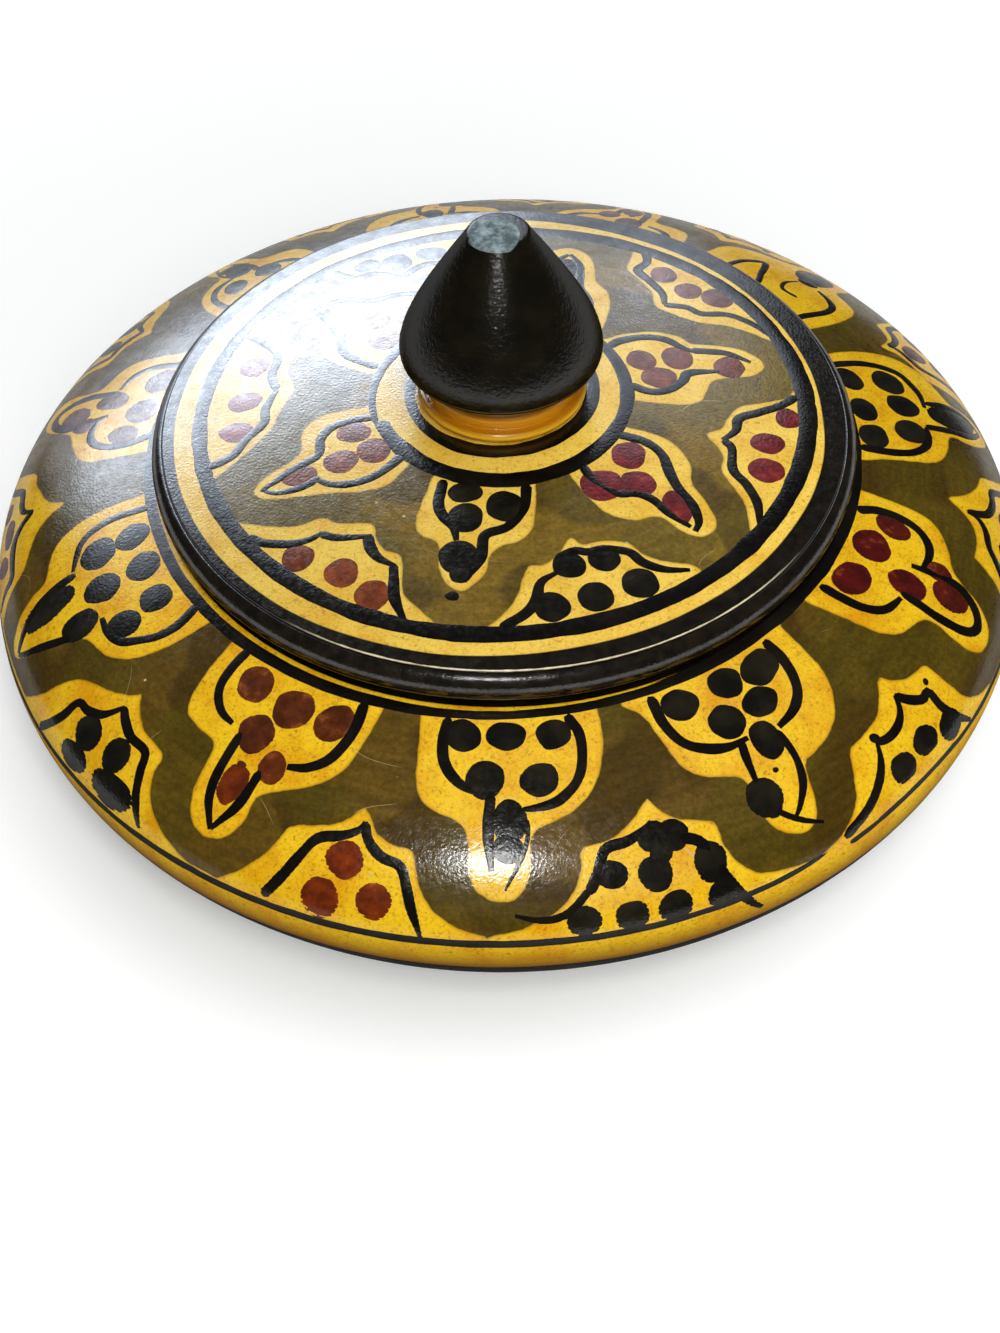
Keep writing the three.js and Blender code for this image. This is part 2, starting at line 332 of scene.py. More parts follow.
def brushing_tree(lay_group):
    """Sweeps each drawn line with a loaded brush: a low bank of paint that swells, wanders and runs out."""
    tree, given = new_tree("brush_lines", PAINT_INPUTS)
    line = add(tree, "GeometryNodeMeshToCurve", {"Mesh": given["Geometry"]})[0]
    line = add(tree, "GeometryNodeResampleCurve", {"Curve": line, "Length": 0.45 * MM}, mode="LENGTH")[0]
    wander = add(tree, "GeometryNodeInputNamedAttribute", {"Name": "wander"}, data_type="FLOAT")[0]
    line = add(tree, "GeometryNodeSetPosition", {"Geometry": line, "Offset": wandering(tree, 3.5, wander)})[0]
    line = add(tree, "GeometryNodeSetCurveNormal", {"Curve": line}, mode="Z_UP")[0]
    width = add(tree, "GeometryNodeInputNamedAttribute", {"Name": "width"}, data_type="FLOAT")[0]
    flick = add(tree, "GeometryNodeInputNamedAttribute", {"Name": "flick"}, data_type="FLOAT")[0]
    gone = add(tree, "GeometryNodeSplineParameter")["Length"]
    whole = add(tree, "GeometryNodeSplineLength")["Length"]
    left = add(tree, "ShaderNodeMath", {0: whole, 1: gone}, operation="SUBTRACT")[0]
    start = add(tree, "ShaderNodeMapRange", {"Value": gone, "From Max": 0.5 * MM, "To Min": 0.5})[0]
    run_out = add(tree, "ShaderNodeMapRange", {"Value": left, "From Max": flick, "To Min": 0.3})[0]
    end = add(tree, "ShaderNodeMath", {0: run_out, 1: 0.6}, operation="POWER")[0]
    place = add(tree, "GeometryNodeInputPosition")[0]
    load = add(tree, "ShaderNodeTexNoise", {"Vector": place, "Scale": per(4)}, noise_dimensions="3D")["Fac"]
    load = add(tree, "ShaderNodeMapRange",
               {"Value": load, "From Min": 0.25, "From Max": 0.75, "To Min": 0.46, "To Max": 0.62})[0]
    scale = add(tree, "ShaderNodeMath", {0: width, 1: load}, operation="MULTIPLY")[0]
    scale = add(tree, "ShaderNodeMath", {0: scale, 1: start}, operation="MULTIPLY")[0]
    scale = add(tree, "ShaderNodeMath", {0: scale, 1: end}, operation="MULTIPLY")[0]
    start_angle, sweep = math.radians(-150), math.radians(120)
    bead = {"Resolution": 9, "Radius": 1.15, "Start Angle": start_angle, "Sweep Angle": sweep}
    bead = add(tree, "GeometryNodeCurveArc", bead, mode="RADIUS")[0]
    flat = add(tree, "ShaderNodeCombineXYZ", {0: 1.0, 1: given["Paint Height"], 2: 1.0})[0]
    sunk = add(tree, "ShaderNodeMath", {0: given["Paint Height"], 1: 0.65}, operation="MULTIPLY")[0]
    sunk = add(tree, "ShaderNodeCombineXYZ", {1: sunk})[0]
    bead = add(tree, "GeometryNodeTransform", {"Geometry": bead, "Translation": sunk, "Scale": flat})[0]
    mesh = add(tree, "GeometryNodeCurveToMesh", {"Curve": line, "Profile Curve": bead, "Scale": scale})[0]
    close_tree(tree, lay(tree, mesh, given, lay_group), given["Material"])
    return tree


def dotting_tree(lay_group):
    """Sets a flat round drop of paint at each point, with its own size and tone and an uneven edge."""
    tree, given = new_tree("paint_dots", PAINT_INPUTS)
    drop = {"Vertices": 32, "Side Segments": 5, "Radius Top": 0.0, "Radius Bottom": 1.0, "Depth": 1.0}
    drop = add(tree, "GeometryNodeMeshCone", drop, fill_type="NONE")["Mesh"]
    place = add(tree, "ShaderNodeSeparateXYZ", {0: add(tree, "GeometryNodeInputPosition")[0]})
    level = add(tree, "ShaderNodeCombineXYZ", {0: place[0], 1: place[1]})[0]
    across = add(tree, "ShaderNodeVectorMath", {0: level, 1: level}, operation="DOT_PRODUCT")["Value"]
    dome = add(tree, "ShaderNodeMath", {0: 0.95, 1: across}, operation="SUBTRACT")[0]
    dome = add(tree, "ShaderNodeMath", {0: dome, 1: given["Paint Height"]}, operation="MULTIPLY")[0]
    dome = add(tree, "ShaderNodeCombineXYZ", {0: place[0], 1: place[1], 2: dome})[0]
    drop = add(tree, "GeometryNodeSetPosition", {"Geometry": drop, "Position": dome})[0]
    size = add(tree, "GeometryNodeInputNamedAttribute", {"Name": "size"}, data_type="FLOAT_VECTOR")[0]
    drops = {"Points": given["Geometry"], "Instance": drop, "Scale": size}
    mesh = add(tree, "GeometryNodeInstanceOnPoints", drops)[0]
    mesh = add(tree, "GeometryNodeRealizeInstances", {"Geometry": mesh})[0]
    uneven = wandering(tree, 2.6, 0.4 * MM)
    mesh = add(tree, "GeometryNodeSetPosition", {"Geometry": mesh, "Offset": uneven})[0]
    close_tree(tree, lay(tree, mesh, given, lay_group), given["Material"])
    return tree


def line_mesh(name, lines, attributes=None):
    """A mesh of open lines, each a list of points in millimetres, with a number for each of its points."""
    points, edges, values = [], [], {key: [] for key in (attributes or {})}
    for i, line in enumerate(lines):
        first = len(points)
        points += [tuple(c * MM for c in p) for p in line]
        edges += [(first + k, first + k + 1) for k in range(len(line) - 1)]
        for key in values:
            given = attributes[key][i]
            values[key] += list(given) if np.ndim(given) else [given] * len(line)
    mesh = bpy.data.meshes.new(name)
    mesh.from_pydata(points, edges, [])
    for key, numbers in values.items():
        mesh.attributes.new(key, "FLOAT", "POINT").data.foreach_set("value", np.array(numbers, np.float32))
    return mesh


def link(name, mesh):
    """A mesh as an object of the scene."""
    piece = bpy.data.objects.new(name, mesh)
    bpy.context.scene.collection.objects.link(piece)
    return piece


def made_by(tree, name, start, sizes):
    """Runs a tree on a starting mesh and gives the result as a plain mesh object."""
    maker = link(name + "_start", start)
    modifier = maker.modifiers.new("make", "NODES")
    modifier.node_group = tree
    for item in tree.interface.items_tree:
        if item.in_out == "INPUT" and item.name in sizes:
            modifier[item.identifier] = sizes[item.name]
    bpy.context.view_layer.update()
    seen = maker.evaluated_get(bpy.context.evaluated_depsgraph_get())
    mesh = bpy.data.meshes.new_from_object(seen)
    bpy.data.objects.remove(maker)
    return link(name, mesh)


# The ornament: buds that hang from the seat, and arches that rise from the line at the widest circle.
# On the bowl a point is degrees round the box, with -90 at the front, and mm down from the seat's edge.
# On the lid it is mm right and mm back from the middle, seen from above. A line comes after its brush's
# width, and yellow is the edge of the yellow left round a motif. A dot is its place, half its width and
# height in mm, and its tone: 0 orange-brown, 1 red-brown, 2 crimson. A dot with no tone is black.

ORANGE, RED, CRIMSON = 0.0, 1.0, 2.0

BOWL_BUDS = {
    -155: dict(
        lines=[(1.0, [(-165.6, 1.5), (-166.1, 5.5), (-165.4, 8.4), (-164, 10), (-162, 10.9), (-160, 11.6)]),
               (1.05, [(-142.6, 1.5), (-141.8, 4.1), (-142.4, 6.6), (-144, 8.6), (-145.6, 10.1),
                       (-148, 10.7), (-150.6, 10.5)]),
               (1.1, [(-159.4, 11.4), (-159, 15), (-157.6, 18.2), (-155.3, 21.2)]),
               (1.0, [(-151, 14.4), (-152.4, 17), (-154.4, 20.5), (-155.2, 21.2)])],
        yellow=[(-168.8, 1.7), (-168.7, 6), (-168, 9.5), (-166.5, 12.3), (-164.2, 13.9), (-161.2, 15),
                (-160.2, 17.4), (-158.6, 19.9), (-156.6, 21.7), (-154.9, 21.6), (-153, 18.8),
                (-151.2, 15.6), (-149.4, 13), (-145.4, 12.1), (-142.6, 10.4), (-140.7, 8), (-139.4, 5),
                (-138.5, 1.7)],
        dots=[(-161, 4.1, 1.8, 2.0), (-160.8, 8.3, 2.1, 2.2), (-154.6, 4.1, 1.9, 2.0),
              (-154.8, 9.1, 1.9, 2.2), (-148.1, 4.6, 1.75, 1.9), (-147.5, 8.8, 1.7, 2.0),
              (-157.2, 15.7, 1.8, 3.8), (-151.7, 13, 1.8, 2.3)]),
    -121: dict(
        lines=[(1.05, [(-130.3, 1.5), (-130.4, 4.5), (-129.5, 6.8), (-127.6, 8.2), (-125.2, 8.7)]),
               (1.15, [(-110.5, 1.5), (-110.3, 4.1), (-110.8, 6.1), (-112, 8.2), (-114, 9.6),
                       (-116.3, 10.2)]),
               (1.05, [(-123.5, 9.1), (-123.4, 12.7), (-122.8, 15.9), (-121.1, 18.8)]),
               (1.0, [(-118.9, 11.6), (-119.1, 13.5), (-119.5, 15.6), (-121.1, 18.7)])],
        yellow=[(-133.4, 1.7), (-133, 5), (-132.3, 8), (-131.2, 10), (-129, 10.7), (-126.8, 10.9),
                (-125.4, 11.7), (-125.1, 14), (-124.7, 16.5), (-123.6, 18.5), (-122.2, 19.4),
                (-120.5, 19.4), (-119, 18.3), (-118, 16.3), (-117.9, 14.2), (-116.4, 12.9), (-112.5, 11),
                (-110, 9), (-108.7, 6), (-107.6, 1.7)],
        dots=[(-125.9, 4.1, 1.95, 2.05, RED), (-119.2, 4.7, 2.15, 2.1, RED), (-113.3, 4.5, 1.85, 2.0, RED),
              (-121.8, 8.5, 1.9, 2.05, RED), (-117.9, 10.9, 1.45, 1.65, 0.8),
              (-121.1, 13.9, 1.5, 2.05, 0.3), (-121.3, 11.8, 0.5, 0.4, RED)]),
    -91: dict(
        lines=[(1.15, [(-98.5, 1.5), (-98.7, 4.1), (-98, 6.4), (-96, 8.2), (-93.4, 9.2)]),
               (1.0, [(-82.3, 1.5), (-81.1, 3.4), (-81.1, 5.5), (-82.2, 8), (-84.4, 9.8), (-86.4, 10.4),
                      (-88.8, 10.6)]),
               (1.1, [(-92.4, 9), (-92.6, 12.4), (-92.2, 16.4)]),
               (0.5, [(-88.4, 11.6), (-88.6, 13.6), (-89.6, 16), (-90.9, 18.2)])],
        yellow=[(-102.4, 1.7), (-101.8, 4), (-101.2, 8), (-100.2, 10), (-98.5, 11), (-96.5, 11.6),
                (-95.1, 12.5), (-94.6, 14), (-94.4, 16.8), (-93.6, 18.2), (-92.3, 19), (-91.2, 19.2),
                (-90, 19), (-88.9, 17.8), (-88.3, 15.9), (-88.2, 13.6), (-87.4, 12.5), (-85.5, 11.9),
                (-83, 10.9), (-80.8, 9.2), (-79.2, 7), (-78.2, 4.5), (-77.8, 1.7)],
        dots=[(-96.2, 3.3, 1.8, 1.7), (-90.6, 3.2, 1.9, 1.5), (-84.4, 3.3, 1.75, 1.55),
              (-93.1, 7.7, 1.9, 1.85), (-86.7, 7.8, 1.85, 1.65), (-90.4, 11.7, 1.8, 1.95),
              (-90.6, 14.3, 1.5, 1.5)]),
    -60: dict(
        lines=[(1.1, [(-70.1, 1.5), (-70.1, 4.5), (-69, 6.8), (-66.8, 8.3), (-64, 9.1), (-61.2, 9.1)]),
               (1.15, [(-50.6, 1.5), (-50.5, 4.5), (-51.8, 7.3), (-54, 8.9), (-57.2, 9.6)]),
               (1.0, [(-62.2, 9), (-62.8, 11.4), (-63.1, 13.8)]),
               (0.65, [(-62.6, 16.4), (-61.8, 17.3), (-60.4, 18.5), (-58.4, 19.7)]),
               (0.85, [(-57.7, 9.8), (-57.5, 12.5), (-58.2, 15), (-59.6, 16.8), (-60.9, 17.9)])],
        yellow=[(-74.4, 1.7), (-72.4, 3), (-71.5, 5), (-70.8, 7.5), (-69.8, 9.6), (-68, 10.9),
                (-65.6, 11.7), (-64.2, 12.6), (-64, 15), (-63.9, 17), (-62.8, 18.6), (-60.8, 19.6),
                (-59.2, 19.2), (-58.2, 17.5), (-57.6, 15.2), (-56.8, 13.7), (-55, 13.4), (-52, 12.6),
                (-49.8, 11.2), (-48, 9), (-47.2, 6.5), (-46.8, 1.7)],
        dots=[(-66.8, 3.3, 1.95, 1.7), (-59.6, 3.2, 1.9, 1.65), (-53.9, 3.5, 2.3, 1.8),
              (-62.4, 6.8, 1.9, 1.75), (-57.1, 6.5, 2.0, 1.65), (-59.4, 10.1, 1.6, 2.0),
              (-63, 15, 1.85, 2.05), (-60.4, 13.1, 0.35, 0.3)]),
    -27: dict(
        lines=[(1.15, [(-36.5, 1.5), (-36.2, 4.1), (-35.4, 6.6), (-33.6, 8.4), (-30.6, 9.2)]),
               (1.15, [(-29.8, 9), (-29.9, 13.2), (-29.5, 15.7), (-28.6, 17.5), (-27.4, 18.1), (-26, 17.6),
                       (-24.8, 16.4), (-23.9, 14.6), (-23.9, 12.4), (-24.8, 8.8)]),
               (1.1, [(-19, 1.5), (-17.6, 3.9), (-17.4, 6.1), (-18.2, 8.4), (-20, 10), (-22, 10.4),
                      (-24.1, 10.1)])],
        yellow=[(-40.5, 1.7), (-39.3, 4.5), (-38.3, 7), (-37.3, 9.3), (-35.5, 10.9), (-33, 11.7),
                (-31.3, 12.5), (-30.9, 14), (-31.1, 16), (-30.9, 18), (-29.8, 19.5), (-28, 20), (-26, 19.3),
                (-24.5, 17.5), (-23.4, 15.2), (-22.4, 13.6), (-21, 12.9), (-18, 11.7), (-15.8, 10),
                (-15, 7.5), (-14.5, 1.7)],
        dots=[(-32.2, 3.8, 2.3, 2.05, CRIMSON), (-24.8, 4.2, 2.15, 2.15, CRIMSON),
              (-19.8, 5.7, 1.5, 2.1, 1.8), (-28.1, 9.2, 1.6, 2.3, CRIMSON), (-23.6, 12, 1.3, 1.65, 1.8),
              (-26, 14.1, 1.8, 2.2, 1.7)]),
    5.5: dict(
        lines=[(1.15, [(-4.6, 1.5), (-4.4, 5), (-3.4, 8), (-1.6, 9.8), (0.8, 10.8), (2.8, 10.9)]),
               (1.1, [(2.9, 10.9), (3.3, 14.5), (3.8, 17.7), (5.5, 20.2)]),
               (1.1, [(15.9, 1.5), (16.2, 5.9), (15.6, 8.6), (14.2, 10.9), (12, 11.7), (9.6, 12.2),
                      (7, 12)]),
               (1.0, [(8, 12.4), (8.5, 15.9), (7.8, 18.6), (5.7, 20.2)])],
        yellow=[(-7.7, 1.7), (-6.5, 4), (-5.5, 7), (-4.8, 9.5), (-3.5, 11.5), (-1, 12.9), (1.6, 13.7),
                (2.2, 14.8), (1.9, 16.4), (2.3, 18.4), (3.5, 20.3), (5.3, 21.2), (7.2, 20.6), (8.6, 18.6),
                (9.4, 16.6), (12, 15.7), (15.5, 14.3), (17.8, 12), (18.9, 9), (19.3, 6), (19, 1.7)],
        dots=[(-1.4, 3.5, 1.95, 1.8), (4.7, 3.3, 1.95, 1.7), (12.3, 3.3, 2.1, 1.6), (1.2, 8.6, 2.0, 2.2),
              (6.7, 8.8, 1.9, 2.1), (11.8, 8.5, 2.1, 2.1), (6, 15.8, 2.1, 3.8)]),
    38: dict(
        lines=[(1.1, [(29.3, 1.5), (29.5, 4.5), (29.6, 8.2), (30.6, 10.2), (32.4, 11.3), (35.4, 11.9)]),
               (0.9, [(40, 1.5), (41.2, 5), (42.8, 7.3), (44, 9.5), (45.2, 10.9), (46.6, 9.5), (47.6, 7.3),
                      (48.4, 1.5)]),
               (0.6, [(34.6, 7), (37.6, 6.8), (39, 8.6), (38.6, 11)])],
        yellow=[(25.7, 1.7), (26.4, 7.3), (27.4, 10.5), (29.2, 13.2), (32, 14.1), (34.5, 14.8), (35, 18),
                (37, 20.4), (40, 20.8), (42.4, 18.6), (43.4, 15.6), (46, 14.2), (50, 12.6), (52.4, 10),
                (53, 1.7)],
        dots=[(38.8, 15, 2.6, 3.0), (37.9, 12.4, 1.4, 1.2)]),
}

BOWL_ARCHES = {
    -138: dict(
        lines=[(1.0, [(-146.4, 23.4), (-144.8, 21.4), (-143.8, 19.5), (-143.2, 17.3), (-141.6, 17.1),
                      (-139.6, 16.2), (-138, 14)]),
               (1.0, [(-138.1, 14), (-136.6, 15), (-134.8, 15.8), (-132.2, 15.9), (-131.4, 17.7),
                      (-130.4, 20), (-128.7, 22.8)])],
        yellow=[(-150.6, 23), (-148.2, 20.4), (-147, 18), (-145.8, 16.2), (-144, 15), (-141, 13.9),
                (-138.5, 12.7), (-137.5, 11.9), (-136.6, 12.8), (-134, 14.3), (-131, 14.7), (-130, 15.4),
                (-129.8, 17), (-129, 18.7), (-127.5, 20.4), (-125, 21.9), (-122.3, 23)],
        dots=[(-139.6, 18.6, 1.8, 1.9), (-135, 18.1, 1.6, 1.9), (-139.8, 21.8, 2.2, 1.5),
              (-133.4, 21.4, 3.0, 1.8)]),
    -105.5: dict(
        lines=[(1.05, [(-114, 22.7), (-112.4, 20), (-111.2, 17.5), (-110, 15.7), (-107.6, 14.8),
                       (-106, 13.9), (-105.6, 13.1)]),
               (0.95, [(-105.7, 13.1), (-104.8, 14.8), (-103.2, 16), (-101.2, 16.6), (-100.4, 18.2),
                       (-99.4, 20.9), (-98.6, 23.2)])],
        yellow=[(-118.8, 23), (-116.8, 21), (-115, 19), (-113.8, 16.7), (-113.1, 15.3), (-110.5, 14.5),
                (-108, 13.5), (-106.5, 12.1), (-105.9, 11.7), (-105.3, 12.3), (-104, 14), (-102, 14.7),
                (-100.3, 14.9), (-99.7, 16.2), (-99, 18.3), (-97.5, 20.3), (-95.2, 21.8), (-92.5, 22.6)],
        dots=[(-106.8, 16.9, 1.85, 1.8, ORANGE), (-108.4, 21.1, 1.85, 1.95, 0.1),
              (-103.3, 20.3, 1.7, 1.8, 0.2)]),
    -75: dict(
        lines=[(0.7, [(-82.8, 18.6), (-85.2, 20.7), (-87.6, 21.1), (-90, 20.6)]),
               (1.05, [(-83, 19), (-82, 17.5), (-80.8, 15.2), (-78.4, 14.8), (-76.4, 14.1), (-75.4, 13.5)]),
               (1.05, [(-75.6, 13.6), (-73, 15.6), (-71.4, 16.4), (-70.4, 18.2), (-69.8, 20.5),
                       (-68.4, 23.2), (-66.5, 25.8)])],
        yellow=[(-92.4, 22.6), (-90, 22), (-88.5, 21.4), (-86, 20.2), (-84.2, 18.3), (-83.4, 16.4),
                (-83, 14.7), (-80, 14.2), (-77.5, 13), (-75.7, 11.5), (-75.1, 11.3), (-74.4, 12.4),
                (-72.5, 13.9), (-70.5, 14.6), (-69.1, 15.4), (-69, 17.4), (-68.2, 19.5), (-66.5, 21.2),
                (-64, 22), (-61, 22.6)],
        dots=[(-83.7, 21.6, 1.6, 1.5), (-79.2, 21.8, 1.6, 1.5), (-75, 21.9, 1.7, 1.6),
              (-70.4, 21.9, 1.5, 1.5), (-80.6, 17.6, 1.6, 1.4), (-76.4, 18.3, 1.65, 1.75),
              (-70.9, 18.6, 1.65, 1.9), (-76, 14.9, 1.3, 1.3), (-73.8, 15.2, 1.6, 1.6),
              (-75.4, 16.6, 1.1, 1.2)]),
    -43: dict(
        lines=[(0.95, [(-56.8, 22.4), (-54, 21.4), (-51.6, 20.2), (-49.6, 18.4), (-48.4, 16.4)]),
               (1.0, [(-48.6, 16.4), (-46.8, 16.9), (-44.8, 16.6), (-43.4, 15.7), (-42.7, 14.4)]),
               (1.0, [(-42.8, 14.4), (-41.8, 15.7), (-40.4, 16.8), (-39.1, 16.8), (-39, 18.9), (-38, 21.1),
                      (-36.4, 23)])],
        yellow=[(-60, 22.7), (-57, 21.7), (-54.5, 20), (-53, 17.5), (-51.8, 15.4), (-49.5, 15),
                (-46.5, 14.5), (-44, 13), (-42.6, 12), (-41.3, 13.3), (-39.5, 14.3), (-36.9, 14.8),
                (-36.5, 16.7), (-36.1, 19), (-35.3, 20.8), (-33.5, 22), (-31, 22.8)],
        dots=[(-47.4, 20.3, 1.7, 1.4), (-43.3, 19.9, 1.8, 1.5), (-39.4, 21, 1.8, 1.5),
              (-48.3, 16, 0.6, 0.6), (-38.5, 16, 0.4, 0.4)]),
    -11.5: dict(
        lines=[(1.0, [(-21, 22.9), (-19, 20.6), (-16.8, 18.8), (-15.2, 17.5), (-12.8, 16.9), (-11.5, 15.9),
                      (-11.2, 14.4)]),
               (1.0, [(-11.3, 14.4), (-10.4, 16.6), (-9.4, 17.7), (-7.4, 18.4), (-5.4, 18.6), (-4.4, 20.6),
                      (-2.8, 22.9)])],
        yellow=[(-24, 23), (-21.6, 21), (-19.6, 18.6), (-18.5, 16.4), (-18, 15.5), (-16, 15.7),
                (-13.5, 15.2), (-11.8, 13.8), (-10.2, 11.8), (-9.2, 13.2), (-7.5, 15), (-5.5, 16.3),
                (-3.8, 17.1), (-3.1, 19), (-2, 21.2), (0.4, 23)],
        dots=[(-14, 20.6, 1.8, 1.6), (-9.4, 20.8, 1.8, 1.6)]),
    -174.5: dict(
        lines=[(1.0, [(-181.8, 23), (-180.2, 21), (-178.9, 19.1), (-176.6, 18.7), (-175, 18),
                      (-174.2, 16.4)]),
               (1.0, [(-174.3, 16.4), (-172.6, 18.2), (-170, 19.4), (-165.8, 19.7), (-164.6, 21.2),
                      (-163.2, 23)])],
        yellow=[(-184.6, 23), (-182.6, 20.4), (-181.2, 17.3), (-179, 16.6), (-176.8, 15.5), (-174.4, 14.1),
                (-172.8, 11.8), (-171.8, 13.6), (-170, 15.4), (-167, 16.8), (-165, 17.8), (-163.6, 20),
                (-161, 23)],
        dots=[(-173, 20.4, 2.2, 1.0, 1.5), (-177, 21.6, 1.6, 1.2, 1.5), (-168.6, 21.6, 1.6, 1.2, 1.5)]),
}

# The back hardly shows, so it repeats motifs of the front: where one stands, which it is like, its tone
BACK_BUDS = [(69, -121, RED), (100, -60, None), (133, -91, None), (169, -27, RED)]
BACK_ARCHES = [(21, -105.5, CRIMSON), (53.5, -43, None), (84.5, -105.5, ORANGE), (116, -43, RED),
               (151, -138, None)]

LID_BUDS = [
    dict(
        lines=[(1.2, [(-6.4, -14), (-6.9, -17.2), (-6.3, -19.2), (-5.3, -20.6), (-5, -22.4)]),
               (1.1, [(2.3, -15), (1.9, -18.3), (0.2, -20.8), (-2, -21.7), (-2.4, -23.3), (-2.6, -25),
                      (-4.3, -27.6)])],
        yellow=[(-7.8, -14), (-8.1, -15.6), (-8.8, -17.6), (-9.2, -20), (-8.6, -21.5), (-7.2, -22.2),
                (-6.7, -23.4), (-6.8, -25.4), (-6.1, -27.5), (-4.8, -28.7), (-3.4, -28.1), (-2.1, -26.4),
                (-1.6, -24.4), (-0.4, -23.2), (1.4, -22.6), (2.6, -21.4), (3.1, -19), (3.3, -14.4)],
        dots=[(-4.1, -16, 1.9, 1.4), (-4.1, -19.4, 1.9, 1.9), (0, -18, 2.0, 2.0), (-4.8, -24.5, 2.0, 2.1),
              (-4.5, -26.6, 1.2, 1.2), (-5.4, -29.4, 0.75, 0.6)]),
    dict(
        lines=[(1.2, [(12, -7.6), (15, -8.7), (16.8, -10.5), (17.4, -13.2), (18.2, -15.5), (19.5, -17.9),
                      (19.9, -20), (19.4, -21.4)]),
               (1.1, [(8.2, -12.4), (9.4, -14.6), (11.8, -16.3), (13.7, -16.3), (15.3, -17.1),
                      (16.8, -18.9), (19, -20.8)])],
        yellow=[(13.4, -6.6), (15.8, -7.4), (17.9, -8.7), (19.2, -10.5), (19.8, -12.6), (19.6, -14.6),
                (20.5, -16.6), (21.5, -18.9), (21.6, -20.8), (20.5, -21.8), (19.4, -22), (17.9, -21.3),
                (16.3, -19.7), (15, -19.5), (13.7, -20), (11.8, -19.7), (10, -18.7), (8.7, -16.8),
                (7.2, -14.4)],
        dots=[(13.3, -10.8, 1.8, 2.0, CRIMSON), (10.2, -15.2, 2.3, 2.2, CRIMSON),
              (14, -15, 1.9, 1.9, CRIMSON), (17.7, -17.8, 1.4, 1.9, CRIMSON),
              (18.4, -19.2, 1.0, 1.2, CRIMSON)]),
    dict(
        lines=[(1.2, [(12.2, 7), (13.7, 8.2), (16.3, 8.9), (18.9, 8.6), (20.8, 7.1), (22.1, 6.5)]),
               (1.1, [(21.6, 6.7), (24.5, 6.7), (26.3, 6.3), (28.4, 5.1)]),
               (1.15, [(14, 0.4), (16.3, -0.7), (18.4, -0.4), (20.3, 1.3), (21.1, 2.7), (24.6, 3.2)])],
        yellow=[(11.6, 8.4), (15, 9.7), (18, 10), (20.6, 9.2), (21.8, 8), (24.4, 7.9), (27.2, 7.4),
                (29.3, 6), (29.8, 4.2), (28.2, 2.7), (25.6, 2.1), (23.6, 1.4), (22.7, -0.4), (21.9, -2),
                (20, -2.8), (17.4, -2.7), (13.8, -2.2)],
        dots=[(15.9, 4.7, 1.7, 1.8, RED), (20, 5.3, 1.8, 2.0, RED), (17.6, 1.8, 2.0, 1.8, RED),
              (25.8, 4, 1.8, 1.9, RED)]),
    dict(
        lines=[(1.2, [(2, 14.6), (1, 18), (2.8, 20.8), (4.8, 22), (6, 24), (8.6, 26.4)]),
               (1.1, [(9.6, 11.4), (10.6, 15.6), (9.6, 18.8), (9.8, 22), (9.8, 24), (8.8, 26.5)])],
        yellow=[(0.2, 14.2), (-1.2, 17.6), (-0.4, 20.8), (1.8, 22.4), (3.6, 23.6), (5.2, 26.2), (8.4, 28),
                (10.8, 26.6), (11.6, 23.6), (11.6, 20.4), (12.9, 17.6), (12.8, 14.2), (11.6, 9.8)],
        dots=[(5.2, 16.8, 1.9, 1.9), (7.6, 19.6, 1.9, 1.9), (8.4, 23.2, 1.4, 2.2)]),
    dict(
        lines=[(1.2, [(-14, 4.6), (-17.8, 7.2), (-18.8, 11), (-20.4, 14.2), (-22.6, 16.8)]),
               (1.1, [(-5.8, 13.2), (-8, 17.6), (-11.6, 18.6), (-15.2, 17.6), (-18.6, 18.2), (-22.4, 17)])],
        yellow=[(-14.4, 3.2), (-19.2, 6), (-21, 9.6), (-20.8, 12.2), (-22, 14.6), (-24.3, 17),
                (-23.4, 18.6), (-20.6, 19.4), (-17.4, 19.4), (-14.6, 19.6), (-12, 20.6), (-8.8, 20),
                (-6.2, 17.8), (-4, 13.6)],
        dots=[(-13.4, 9.6, 2.0, 2.0, RED), (-10.4, 14, 2.0, 1.9, RED), (-14.8, 13.4, 1.9, 1.9, RED),
              (-19, 15.8, 2.0, 1.5, RED)]),
    dict(
        lines=[(1.15, [(-10.6, -10), (-13.2, -12.6), (-15.8, -13.8), (-18.4, -13.7), (-20, -12.8)]),
               (1.0, [(-19.6, -12.6), (-21.6, -13.9), (-24.2, -14.3), (-25.8, -13.7)]),
               (1.1, [(-14, -4), (-16.4, -4.2), (-18.6, -5), (-19.8, -6.8), (-19.9, -9.2), (-21.6, -10.5),
                      (-23.7, -12.1), (-25.6, -13.7)])],
        yellow=[(-9.8, -11.2), (-12.1, -14.2), (-14.7, -15), (-18.9, -15), (-24.2, -15.2), (-26.1, -14.6),
                (-26.4, -13.2), (-24.7, -11.2), (-22.8, -9.9), (-21.8, -8.2), (-22, -6), (-21, -3.9),
                (-18.9, -2.8), (-13.6, -2)],
        dots=[(-16.2, -6.2, 1.9, 1.6, RED), (-13.9, -9.2, 1.9, 1.9, RED), (-17.4, -10.5, 1.9, 1.7, RED),
              (-21.8, -12.1, 2.0, 1.6, RED)]),
]
